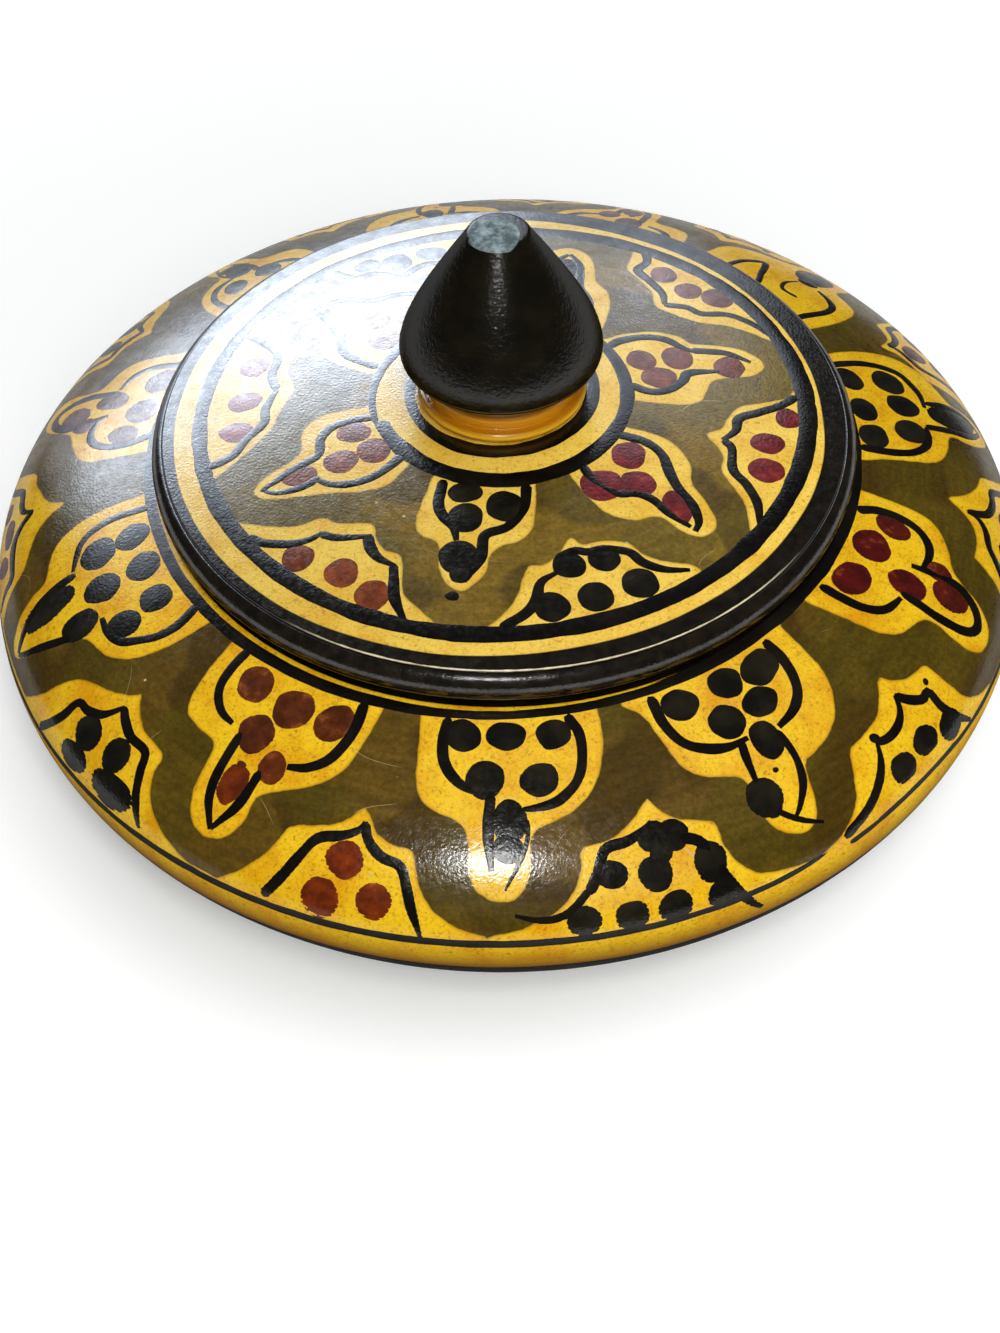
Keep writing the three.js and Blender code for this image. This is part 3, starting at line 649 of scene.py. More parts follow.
LID_ARCHES = [
    dict(
        lines=[(1.1, [(-26.6, -20), (-25, -21.1), (-22.1, -21.5), (-20, -21.1), (-18.9, -20.3)]),
               (1.1, [(-19.1, -20.4), (-17.1, -21.2), (-14.1, -21.2)]),
               (1.15, [(-14.1, -20.9), (-13.8, -22.6), (-12.9, -24.2), (-11.2, -25.3)]),
               (1.15, [(-11.4, -25), (-11.3, -27.4), (-11.1, -29.5), (-10, -32.4)])],
        yellow=[(-28.4, -17.8), (-24.7, -18.8), (-21.6, -19.2), (-18.9, -18.3), (-17.3, -19.2),
                (-13.8, -19.6), (-13.2, -21.6), (-12.3, -23.1), (-10.6, -24.1), (-10.4, -26.8),
                (-10.2, -28.8), (-8.8, -30.5), (-6.6, -32.9)],
        dots=[(-21.2, -23.4, 1.7, 1.7, 0.8), (-16.6, -25.7, 1.8, 1.8, 0.5), (-13.5, -28.8, 1.8, 1.8, 0.5)]),
    dict(
        lines=[(1.15, [(-0.8, -33.4), (1.8, -31.6), (2.9, -30), (3.4, -27.9), (5, -26.8)]),
               (1.0, [(5, -24.9), (6.8, -24), (8.2, -24.2), (9.9, -23.8), (12.4, -24.2), (13.7, -25.5),
                      (15.8, -26.3), (18.4, -26.4)])],
        yellow=[(-2, -33), (-0.4, -31.6), (0.8, -29.8), (1.6, -27.4), (2.2, -25.9), (3.9, -25.6),
                (5.3, -24.3), (6.5, -22.3), (7.8, -23.2), (10, -22.7), (12.4, -23), (13.9, -24.5),
                (16, -25.3), (18.8, -25.7), (20, -27)],
        dots=[(6.3, -25.8, 1.7, 1.6), (9.9, -25.1, 1.7, 1.5), (4.4, -30.9, 1.8, 1.7),
              (8.8, -29.7, 1.8, 1.8), (13.3, -28.1, 1.9, 1.8)]),
    dict(
        lines=[(1.15, [(33, -0.4), (30.5, -2.4), (27.9, -3.7), (25.8, -4.7), (25.3, -6.6), (23.6, -8.2)]),
               (1.1, [(23.6, -8.2), (24.5, -9.4), (24.3, -12.6), (25.5, -14.7), (26.3, -17.4),
                      (26.2, -20.6)])],
        yellow=[(32.8, 0.8), (31.6, -0.8), (29.2, -1.8), (26.3, -2.7), (24.6, -4.6), (23.7, -6.4),
                (22, -7.4), (22.8, -9), (23.4, -10.8), (23, -12.8), (24.1, -15.3), (25, -17.9),
                (25, -21.4)],
        dots=[(31.4, -4.2, 1.5, 1.6, CRIMSON), (28.6, -8.4, 1.9, 1.6, CRIMSON),
              (27.9, -12.5, 2.0, 1.8, CRIMSON)]),
    dict(
        lines=[(1.2, [(18, 28.4), (18.2, 25), (16.9, 22.9), (18.2, 20.5), (19.4, 17.9), (19.5, 15.6)]),
               (1.1, [(19.4, 15.5), (22.1, 15.2), (23.7, 14), (26.8, 14.1), (29.5, 12.6), (31.4, 10.3)])],
        yellow=[(17, 29), (16.2, 25.6), (15.6, 23.2), (16.9, 20.8), (18.1, 18.2), (18.3, 15.4), (19.8, 14),
                (21.8, 12.8), (23.7, 12.1), (26.3, 11.8), (28.9, 10.8), (32, 8.8)],
        dots=[(20, 22.1, 1.6, 1.9, RED), (22.6, 18.7, 1.7, 1.7, RED), (26, 17.4, 1.9, 2.0, RED)]),
    dict(
        lines=[(1.15, [(-21.6, 25.6), (-17.8, 23), (-15, 23.6), (-11.8, 22.4)]),
               (1.1, [(-11.8, 22.4), (-9.4, 24.8), (-6, 25.6), (-4.2, 28.4), (-4.4, 33)])],
        yellow=[(-23, 24.2), (-20.4, 23), (-17.8, 21.4), (-15, 22), (-12.2, 20.4), (-9.6, 22.4),
                (-6.6, 23.4), (-4.2, 25.2), (-2.4, 28), (-2.2, 33.4)],
        dots=[(-12.6, 25.8, 1.9, 2.0), (-8.4, 27.6, 1.8, 1.6), (-16.2, 25.4, 1.8, 1.6)]),
    dict(
        lines=[(1.15, [(-32.2, -9.6), (-29.5, -8.2), (-28.2, -5.8), (-26.4, -3.4), (-26.4, -1),
                       (-25.4, 2)]),
               (1.1, [(-25.4, 2), (-26.2, 4.6), (-25.8, 8), (-27.4, 10.6), (-30.4, 13)])],
        yellow=[(-31.4, -11.8), (-29.3, -9.6), (-27.4, -7.4), (-25.4, -4.6), (-24.6, -1.6), (-23.4, 2),
                (-24.4, 5), (-23.8, 8.6), (-26, 12), (-29.4, 15.4)],
        dots=[(-29.4, -4.5, 1.9, 1.6, CRIMSON), (-28.9, 0.4, 1.9, 1.6, CRIMSON),
              (-28.4, 6.4, 1.8, 1.7, CRIMSON)]),
]


def flowing(line, steps=6):
    """A smooth line through the drawn points, by Catmull and Rom's rule."""
    p = np.array(line, float)
    p = np.vstack([2 * p[0] - p[1], p, 2 * p[-1] - p[-2]])
    t = np.linspace(0, 1, steps, endpoint=False)[:, None]
    out = []
    for a, b, c, d in zip(p[:-3], p[1:-2], p[2:-1], p[3:]):
        square, cube = 2 * a - 5 * b + 4 * c - d, 3 * b - 3 * c + d - a
        out.append(0.5 * (2 * b + (c - a) * t + square * t ** 2 + cube * t ** 3))
    return np.vstack(out + [p[-2:-1]])


# Where a motif's yellow closes, out of sight under a line: mm down on the bowl, and a radius on the lid
BUD_END = -1.0
ARCH_END = 24.5
INNER_RING = 14.2
OUTER_RING = 33.8

shoulder_far = lengths(shoulder_line)
shoulder_radii = np.array(shoulder_line)[:, 0]


def flat(points, middle):
    """Degrees and mm down on the shoulder, as mm right and up in a flat drawing about the middle."""
    turn, down = np.array(points, float).T
    return np.stack([np.radians(turn - middle) * np.interp(down, shoulder_far, shoulder_radii), -down], 1)


def drawn(motif, middle, tones, to_flat, closing):
    """A motif in its flat drawing: its brush lines, the closed edge of its yellow, and its dots."""
    edge = flowing(motif["yellow"])
    dots = []
    for x, y, wide, high, *tone in motif["dots"]:
        own_tone = tone[0] if tone else None
        dots.append((to_flat([(x, y)])[0], (wide, high), own_tone if tones == "own" else tones))
    lines = [(width, to_flat(flowing(line))) for width, line in motif["lines"]]
    return dict(middle=middle, lines=lines, yellow=to_flat(np.vstack([edge, closing(edge)])), dots=dots)


def bowl_motifs():
    """The bowl's motifs; a bud's yellow runs on under the lid, and an arch's under the lower line."""
    motifs = []
    for motifs_here, back, end in ((BOWL_BUDS, BACK_BUDS, BUD_END), (BOWL_ARCHES, BACK_ARCHES, ARCH_END)):
        for middle, like, tones in [(m, m, "own") for m in motifs_here] + back:
            motifs.append(drawn(motifs_here[like], middle, tones, lambda points: flat(points, like),
                                lambda edge: [(edge[-1][0], end), (edge[0][0], end)]))
    return motifs


def lid_motifs():
    """The lid's motifs in plan; the buds close on the inner ring and the arches on the outer one."""
    def along_ring(edge, ring):
        last, first = (math.atan2(p[1], p[0]) for p in (edge[-1], edge[0]))
        turn = (first - last + math.pi) % (2 * math.pi) - math.pi
        angles = last + turn * np.linspace(0, 1, 9)
        return np.stack([ring * np.cos(angles), ring * np.sin(angles)], 1)

    motifs = []
    for ring, motifs_here in ((INNER_RING, LID_BUDS), (OUTER_RING, LID_ARCHES)):
        for motif in motifs_here:
            motifs.append(drawn(motif, 0, "own", np.array, lambda edge: along_ring(edge, ring)))
    return motifs


def reach_of(shape, points):
    """How far each point lies inside a closed shape, or outside it as a negative length."""
    edge = np.roll(shape, -1, 0) - shape
    rel = points[:, None] - shape
    t = np.clip((rel * edge).sum(2) / np.maximum((edge ** 2).sum(1), 1e-9), 0, 1)
    away = np.sqrt(((rel - t[..., None] * edge) ** 2).sum(2).min(1))
    crosses = (shape[:, 1] > points[:, None, 1]) != ((shape + edge)[:, 1] > points[:, None, 1])
    with np.errstate(divide="ignore", invalid="ignore"):
        where = shape[:, 0] + rel[:, :, 1] * edge[:, 0] / edge[:, 1]
    inside = (crosses & (points[:, None, 0] < where)).sum(1) % 2 == 1
    return np.where(inside, away, -away)


# How far round a motif its yellow is measured, and what stands for a point beyond that
YELLOW_MARGIN = 2
FAR_FROM_YELLOW = -9.0


def yellow_reach(motifs, flat_points):
    """How far each point lies within the yellow round the motifs. Below 0 is the olive ground."""
    field = np.full(len(flat_points(0)), FAR_FROM_YELLOW)
    for motif in motifs:
        points = flat_points(motif["middle"])
        low, high = motif["yellow"].min(0) - YELLOW_MARGIN, motif["yellow"].max(0) + YELLOW_MARGIN
        close = np.flatnonzero(((points > low) & (points < high)).all(1))
        field[close] = np.maximum(field[close], reach_of(motif["yellow"], points[close]))
    return field


def store(piece, name, numbers):
    """Keeps a number for each point of a piece, for its material."""
    attribute = piece.data.attributes.new(name, "FLOAT", "POINT")
    attribute.data.foreach_set("value", np.asarray(numbers, np.float32))


def read(piece, name):
    """The numbers that are kept for a piece's points."""
    numbers = np.zeros(len(piece.data.vertices), np.float32)
    piece.data.attributes[name].data.foreach_get("value", numbers)
    return numbers


def coordinates(piece):
    """A piece's points in millimetres."""
    co = np.zeros(len(piece.data.vertices) * 3, np.float32)
    piece.data.vertices.foreach_get("co", co)
    return co.reshape(-1, 3) / MM


# Materials

def hex_colour(code):
    """An sRGB hex colour as the linear numbers that a socket takes."""
    parts = [int(code[i:i + 2], 16) / 255 for i in (1, 3, 5)]
    return tuple(c / 12.92 if c <= 0.04045 else ((c + 0.055) / 1.055) ** 2.4 for c in parts) + (1.0,)


def new_material(name, **sockets):
    """A material, its tree, its shader and Object coordinates."""
    material = bpy.data.materials.new(name)
    material.use_nodes = True
    shader = material.node_tree.nodes["Principled BSDF"]
    for socket, value in sockets.items():
        shader.inputs[socket.replace("_", " ")].default_value = value
    where = add(material.node_tree, "ShaderNodeTexCoord")["Object"]
    return material, material.node_tree, shader, where


# Paint under varnish has no surface to the air of its own, so only the coat mirrors
VARNISH = dict(Coat_IOR=2.0, IOR=1.5, Roughness=0.6, Specular_IOR_Level=0.0)


def noise_of(size, detail=2.0, rough=0.5):
    """What a noise is given for marks of this many millimetres."""
    return {"Scale": per(size), "Detail": detail, "Roughness": rough}


def varnished_skin(tree, shader, where):
    """The varnish's own relief: slight ripples from the brush, and settled dust that makes its glare
    sparkle. It is smudged all over, and rubbed dull low on the bowl, where the box is held."""
    ripple = add(tree, "ShaderNodeTexNoise", {"Vector": where, **noise_of(1.8, 3.0, 0.5)})["Fac"]
    grain = add(tree, "ShaderNodeTexNoise", {"Vector": where, **noise_of(0.3, 1.0)})["Fac"]
    height = add(tree, "ShaderNodeMath", {0: ripple, 1: 0.009}, operation="MULTIPLY")[0]
    height = add(tree, "ShaderNodeMath", {0: grain, 1: 0.023, 2: height}, operation="MULTIPLY_ADD")[0]
    bump = add(tree, "ShaderNodeBump", {"Strength": 1.0, "Distance": MM, "Height": height})[0]
    tree.links.new(bump, shader.inputs["Normal"])
    tree.links.new(bump, shader.inputs["Coat Normal"])
    dull = add(tree, "ShaderNodeTexNoise", {"Vector": where, **noise_of(0.7, 3.0, 0.6)})["Fac"]
    dull = add(tree, "ShaderNodeMapRange",
               {"Value": dull, "From Min": 0.38, "From Max": 0.7, "To Min": 0.14, "To Max": 0.27})[0]
    tree.links.new(dull, shader.inputs["Coat Roughness"])
    height = add(tree, "ShaderNodeSeparateXYZ", {0: where})[2]
    kept = {"Value": height, "From Min": 18.5 * MM, "From Max": 22 * MM, "To Min": 0.06, "To Max": 0.48}
    kept = add(tree, "ShaderNodeMapRange", kept)[0]
    smudged = add(tree, "ShaderNodeTexNoise", {"Vector": where, **noise_of(2.2, 4.0, 0.7)})["Fac"]
    smudged = add(tree, "ShaderNodeMapRange",
                  {"Value": smudged, "From Min": 0.36, "From Max": 0.64, "To Min": 1.15, "To Max": 0.82})[0]
    kept = add(tree, "ShaderNodeMath", {0: kept, 1: smudged}, operation="MULTIPLY")[0]
    tree.links.new(kept, shader.inputs["Coat Weight"])


def painted_ground(name, yellow, deep_yellow, brown, olive, warm_olive, green_olive, crease=None):
    """Tempera brushed on a yellow ground under amber varnish. The yellow glows, flecked with brown dust.
    The olive lies over it between the motifs in uneven coats, warmer where it is thin. The rest is black."""
    material, tree, shader, where = new_material(name, **VARNISH)
    broad = add(tree, "ShaderNodeTexNoise", {"Vector": where, **noise_of(13, 0.6)})["Fac"]
    laps = add(tree, "ShaderNodeTexNoise", {"Vector": where, **noise_of(9, 0.0), "Distortion": 0.3})["Fac"]
    fine = add(tree, "ShaderNodeTexNoise", {"Vector": where, **noise_of(1.5, 3.0, 0.6)})["Fac"]
    grain = add(tree, "ShaderNodeTexNoise", {"Vector": where, **noise_of(0.5, 2.0, 0.7)})["Fac"]
    ground = add(tree, "ShaderNodeAttribute", attribute_name="ground")["Fac"]
    frayed = add(tree, "ShaderNodeMath", {0: fine, 1: 0.36, 2: -0.18}, operation="MULTIPLY_ADD")[0]
    edge = add(tree, "ShaderNodeMath", {0: ground, 1: frayed}, operation="ADD")[0]
    # yellow, deeper in places, with brown flecks and a brown fringe where the olive was drawn along it
    shade = add(tree, "ShaderNodeTexNoise", {"Vector": where, **noise_of(5, 4.0, 0.65)})["Fac"]
    shade = add(tree, "ShaderNodeMapRange", {"Value": shade, "From Min": 0.42, "From Max": 0.68})[0]
    colour = add(tree, "ShaderNodeMix", {0: shade, 6: hex_colour(yellow), 7: hex_colour(deep_yellow)},
                 data_type="RGBA")[2]
    dusty = add(tree, "ShaderNodeTexNoise", {"Vector": where, **noise_of(0.3, 2.0, 0.6)})["Fac"]
    dusty = add(tree, "ShaderNodeMapRange",
                {"Value": dusty, "From Min": 0.5, "From Max": 0.7, "To Max": 0.35})[0]
    flecks = add(tree, "ShaderNodeMapRange",
                 {"Value": grain, "From Min": 0.58, "From Max": 0.7, "To Max": 0.6})[0]
    flecks = add(tree, "ShaderNodeMath", {0: flecks, 1: dusty}, operation="MAXIMUM")[0]
    fringe = add(tree, "ShaderNodeMapRange",
                 {"Value": edge, "From Min": 0.3, "From Max": 0.0, "To Max": 0.5})[0]
    flecks = add(tree, "ShaderNodeMath", {0: flecks, 1: fringe}, operation="MAXIMUM")[0]
    colour = add(tree, "ShaderNodeMix", {0: flecks, 6: colour, 7: hex_colour(brown)}, data_type="RGBA")[2]
    # the plain band under the widest circle, darkened towards its lower edge, where the bowl turns under:
    # painted shade
    band = add(tree, "ShaderNodeAttribute", attribute_name="band")["Fac"]
    band = add(tree, "ShaderNodeMapRange", {"Value": band, "From Min": 0.0, "From Max": 4.2})[0]
    band = add(tree, "ShaderNodeMath", {0: band, 1: 1.6}, operation="POWER")[0]
    colour = add(tree, "ShaderNodeMix", {0: band, 6: colour, 7: hex_colour("#8A5A08")}, data_type="RGBA")[2]
    # olive in overlapping coats, gritty, and streaked round the box by the brush
    thin_and_lit = add(tree, "ShaderNodeAttribute", attribute_name="thinned_and_lit")["Fac"]
    thin = add(tree, "ShaderNodeMath", {0: laps, 1: thin_and_lit}, operation="ADD")[0]
    thin = add(tree, "ShaderNodeMapRange", {"Value": thin, "From Min": 0.49, "From Max": 0.55})[0]
    coat = add(tree, "ShaderNodeMix", {0: thin, 6: hex_colour(olive), 7: hex_colour(warm_olive)},
               data_type="RGBA")[2]
    second = add(tree, "ShaderNodeMapRange",
                 {"Value": broad, "From Min": 0.45, "From Max": 0.51, "To Max": 0.6})[0]
    coat = add(tree, "ShaderNodeMix", {0: second, 6: coat, 7: hex_colour(green_olive)}, data_type="RGBA")[2]
    mottle = add(tree, "ShaderNodeMapRange",
                 {"Value": fine, "From Min": 0.4, "From Max": 0.75, "To Max": 0.4})[0]
    coat = add(tree, "ShaderNodeMix", {0: mottle, 6: coat, 7: hex_colour(olive)}, data_type="RGBA")[2]
    across = add(tree, "ShaderNodeVectorMath", {0: where, 1: (1.0, 1.0, 0.0)}, operation="MULTIPLY")[0]
    across = add(tree, "ShaderNodeVectorMath", {0: across}, operation="NORMALIZE")[0]
    across = add(tree, "ShaderNodeVectorMath", {0: across, "Scale": 7 * MM}, operation="SCALE")[0]
    from_edge = add(tree, "ShaderNodeAttribute", attribute_name="along")["Fac"]
    from_edge = add(tree, "ShaderNodeMath", {0: from_edge, 1: MM}, operation="MULTIPLY")[0]
    from_edge = add(tree, "ShaderNodeCombineXYZ", {2: from_edge})[0]
    swept = add(tree, "ShaderNodeVectorMath", {0: across, 1: from_edge}, operation="ADD")[0]
    swept = add(tree, "ShaderNodeTexNoise", {"Vector": swept, **noise_of(0.8, 3.0, 0.6)})["Fac"]
    swept = add(tree, "ShaderNodeMapRange",
                {"Value": swept, "From Min": 0.3, "From Max": 0.7, "To Min": 0.8, "To Max": 1.2})[0]
    gritty = add(tree, "ShaderNodeMapRange",
                 {"Value": grain, "From Min": 0.3, "From Max": 0.7, "To Min": 0.76, "To Max": 1.26})[0]
    swept = add(tree, "ShaderNodeMath", {0: swept, 1: gritty}, operation="MULTIPLY")[0]
    coat = add(tree, "ShaderNodeVectorMath", {0: coat, "Scale": swept}, operation="SCALE")[0]
    over = add(tree, "ShaderNodeMapRange", {"Value": edge, "From Min": -0.06, "From Max": 0.06})[0]
    colour = add(tree, "ShaderNodeMix", {0: over, 6: coat, 7: colour}, data_type="RGBA")[2]
    # painted light: the whole painted ground grows lighter towards the lid's right
    lit_paler = add(tree, "ShaderNodeMath", {0: thin_and_lit, 1: 0.9, 2: 1.0}, operation="MULTIPLY_ADD")[0]
    colour = add(tree, "ShaderNodeVectorMath", {0: colour, "Scale": lit_paler}, operation="SCALE")[0]
    # dust caught in the varnish, and hairline scratches in it
    cells = add(tree, "ShaderNodeTexVoronoi", {"Vector": where, "Scale": per(2.6)})
    speck = add(tree, "ShaderNodeMapRange",
                {"Value": cells["Distance"], "From Min": 0.07, "From Max": 0.04})[0]
    few = add(tree, "ShaderNodeSeparateXYZ", {0: cells["Color"]})[0]
    few = add(tree, "ShaderNodeMath", {0: few, 1: 0.7}, operation="GREATER_THAN")[0]
    speck = add(tree, "ShaderNodeMath", {0: speck, 1: few}, operation="MULTIPLY")[0]
    hair = add(tree, "ShaderNodeTexNoise", {"Vector": where, **noise_of(17, 1.0), "Distortion": 0.7})["Fac"]
    hair = add(tree, "ShaderNodeMath", {0: hair, 1: 0.5}, operation="SUBTRACT")[0]
    hair = add(tree, "ShaderNodeMath", {0: hair}, operation="ABSOLUTE")[0]
    hair = add(tree, "ShaderNodeMapRange", {"Value": hair, "From Min": 0.0014, "From Max": 0.0006})[0]
    seldom = add(tree, "ShaderNodeMapRange",
                 {"Value": laps, "From Min": 0.6, "From Max": 0.64, "To Max": 0.6})[0]
    hair = add(tree, "ShaderNodeMath", {0: hair, 1: seldom}, operation="MULTIPLY")[0]
    speck = add(tree, "ShaderNodeMath", {0: speck, 1: hair}, operation="MAXIMUM")[0]
    colour = add(tree, "ShaderNodeMix", {0: speck, 6: colour, 7: hex_colour("#BFAE82")},
                 data_type="RGBA")[2]
    # black beyond the painted part, and a pale line along the lid's crease: worn paint, and a painted
    # highlight at the front where the flash catches the edge
    dark = add(tree, "ShaderNodeAttribute", attribute_name="dark")["Fac"]
    wavy = add(tree, "ShaderNodeMath", {0: broad, 1: 0.6, 2: -0.3}, operation="MULTIPLY_ADD")[0]
    dark = add(tree, "ShaderNodeMath", {0: dark, 1: wavy}, operation="ADD")[0]
    dark = add(tree, "ShaderNodeMapRange", {"Value": dark, "From Min": -0.05, "From Max": 0.07})[0]
    rubbed = add(tree, "ShaderNodeMapRange", {"Value": fine, "From Min": 0.4, "From Max": 0.75})[0]
    black = add(tree, "ShaderNodeMix", {0: rubbed, 6: hex_colour("#0F0C08"), 7: hex_colour("#221B12")},
                data_type="RGBA")[2]
    colour = add(tree, "ShaderNodeMix", {0: dark, 6: colour, 7: black}, data_type="RGBA")[2]
    along = add(tree, "ShaderNodeAttribute", attribute_name="along")["Fac"]
    if crease:
        off = add(tree, "ShaderNodeMath", {0: along, 1: crease}, operation="SUBTRACT")[0]
        off = add(tree, "ShaderNodeMath", {0: off}, operation="ABSOLUTE")[0]
        off = add(tree, "ShaderNodeMath", {0: fine, 1: 0.2, 2: off}, operation="MULTIPLY_ADD")[0]
        line = add(tree, "ShaderNodeMapRange",
                   {"Value": off, "From Min": 0.21, "From Max": 0.14, "To Max": 0.9})[0]
        # painted highlight: the pale crease line is kept to the front, where the flash glints on the worn
        # edge
        wear_and_glint = add(tree, "ShaderNodeAttribute", attribute_name="wear_and_glint")["Fac"]
        line = add(tree, "ShaderNodeMath", {0: line, 1: wear_and_glint}, operation="MULTIPLY")[0]
        colour = add(tree, "ShaderNodeMix", {0: line, 6: colour, 7: hex_colour("#E2D4B0")},
                     data_type="RGBA")[2]
    tree.links.new(colour, shader.inputs["Base Color"])
    varnished_skin(tree, shader, where)
    return material


def brushed_black(name, deep, thin, spread):
    """Lamp black in oil, brushed on under the varnish: deep and glossy, and browner where it is thin."""
    material, tree, shader, where = new_material(name, **VARNISH)
    wear_and_glint = add(tree, "ShaderNodeTexNoise", {"Vector": where, **noise_of(spread, 3.0, 0.6)})["Fac"]
    wear_and_glint = add(tree, "ShaderNodeMapRange", {"Value": wear_and_glint, "From Min": 0.42, "From Max": 0.68})[0]
    colour = add(tree, "ShaderNodeMix", {0: wear_and_glint, 6: hex_colour(deep), 7: hex_colour(thin)},
                 data_type="RGBA")[2]
    tree.links.new(colour, shader.inputs["Base Color"])
    varnished_skin(tree, shader, where)
    return material


def dotted_colour(name, orange, red, crimson):
    """Earth reds in round drops under varnish: orange-brown to crimson by each dot's tone, and mottled."""
    material, tree, shader, where = new_material(name, **VARNISH)
    tone = add(tree, "ShaderNodeAttribute", attribute_name="tone")["Fac"]
    mottle = add(tree, "ShaderNodeTexNoise", {"Vector": where, **noise_of(1.8, 3.0, 0.65)})["Fac"]
    low = add(tree, "ShaderNodeMapRange", {"Value": tone, "From Min": 0.0, "From Max": 1.0})[0]
    high = add(tree, "ShaderNodeMapRange", {"Value": tone, "From Min": 1.0, "From Max": 2.0})[0]
    colour = add(tree, "ShaderNodeMix", {0: low, 6: hex_colour(orange), 7: hex_colour(red)},
                 data_type="RGBA")[2]
    colour = add(tree, "ShaderNodeMix", {0: high, 6: colour, 7: hex_colour(crimson)}, data_type="RGBA")[2]
    dense = add(tree, "ShaderNodeMapRange",
                {"Value": mottle, "From Min": 0.6, "From Max": 0.4, "To Max": 0.55})[0]
    colour = add(tree, "ShaderNodeMix", {0: dense, 6: colour, 7: hex_colour("#220A06")},
                 data_type="RGBA")[2]
    wear_and_glint = add(tree, "ShaderNodeMapRange",
               {"Value": mottle, "From Min": 0.6, "From Max": 0.75, "To Max": 0.5})[0]
    colour = add(tree, "ShaderNodeMix", {0: wear_and_glint, 6: colour, 7: hex_colour("#A8602A")}, data_type="RGBA")[2]
    tree.links.new(colour, shader.inputs["Base Color"])
    varnished_skin(tree, shader, where)
    return material


def amber_collar():
    """Amber shellac over pale turned wood: warm and glossy. Its colour holds painted shade in the grooves
    that part its bands and under the knob, and a painted highlight along the bead at its foot.
    """
    material, tree, shader, where = new_material("amber_shellac", **VARNISH)
    height = add(tree, "ShaderNodeSeparateXYZ", {0: where})[2]
    streak = add(tree, "ShaderNodeMapping", {"Vector": where, "Scale": (0.25, 0.25, 3.0)})[0]
    streak = add(tree, "ShaderNodeTexNoise", {"Vector": streak, **noise_of(2.0, 3.0, 0.6)})["Fac"]
    top = COLLAR_BOTTOM + COLLAR_HEIGHT
    up = {"Value": height, "From Min": COLLAR_BOTTOM * MM, "From Max": top * MM}
    up = add(tree, "ShaderNodeMapRange", up)[0]
    bands_and_painted_light = add(tree, "ShaderNodeValToRGB", {"Fac": up})["Color"]
    ramp = bands_and_painted_light.node.color_ramp
    # painted light: darker stops paint shade in the grooves and under the knob, the 0.14 stop a highlight on
    # the bead
    stops = [(0.0, "#E8A818"), (0.14, "#F4BC22"), (0.24, "#B07008"), (0.32, "#E8A018"), (0.5, "#DC9414"),
             (0.58, "#94600C"), (0.64, "#DCB252"), (0.85, "#D2A440"), (1.0, "#8A6820")]
    while len(ramp.elements) < len(stops):
        ramp.elements.new(1.0)
    for stop, (height_share, code) in zip(ramp.elements, stops):
        stop.position = height_share
        stop.color = hex_colour(code)
    wear_and_glint = add(tree, "ShaderNodeMapRange",
               {"Value": streak, "From Min": 0.45, "From Max": 0.7, "To Max": 0.4})[0]
    colour = add(tree, "ShaderNodeMix", {0: wear_and_glint, 6: bands_and_painted_light, 7: hex_colour("#B87410")}, data_type="RGBA")[2]
    tree.links.new(colour, shader.inputs["Base Color"])
    varnished_skin(tree, shader, where)
    return material


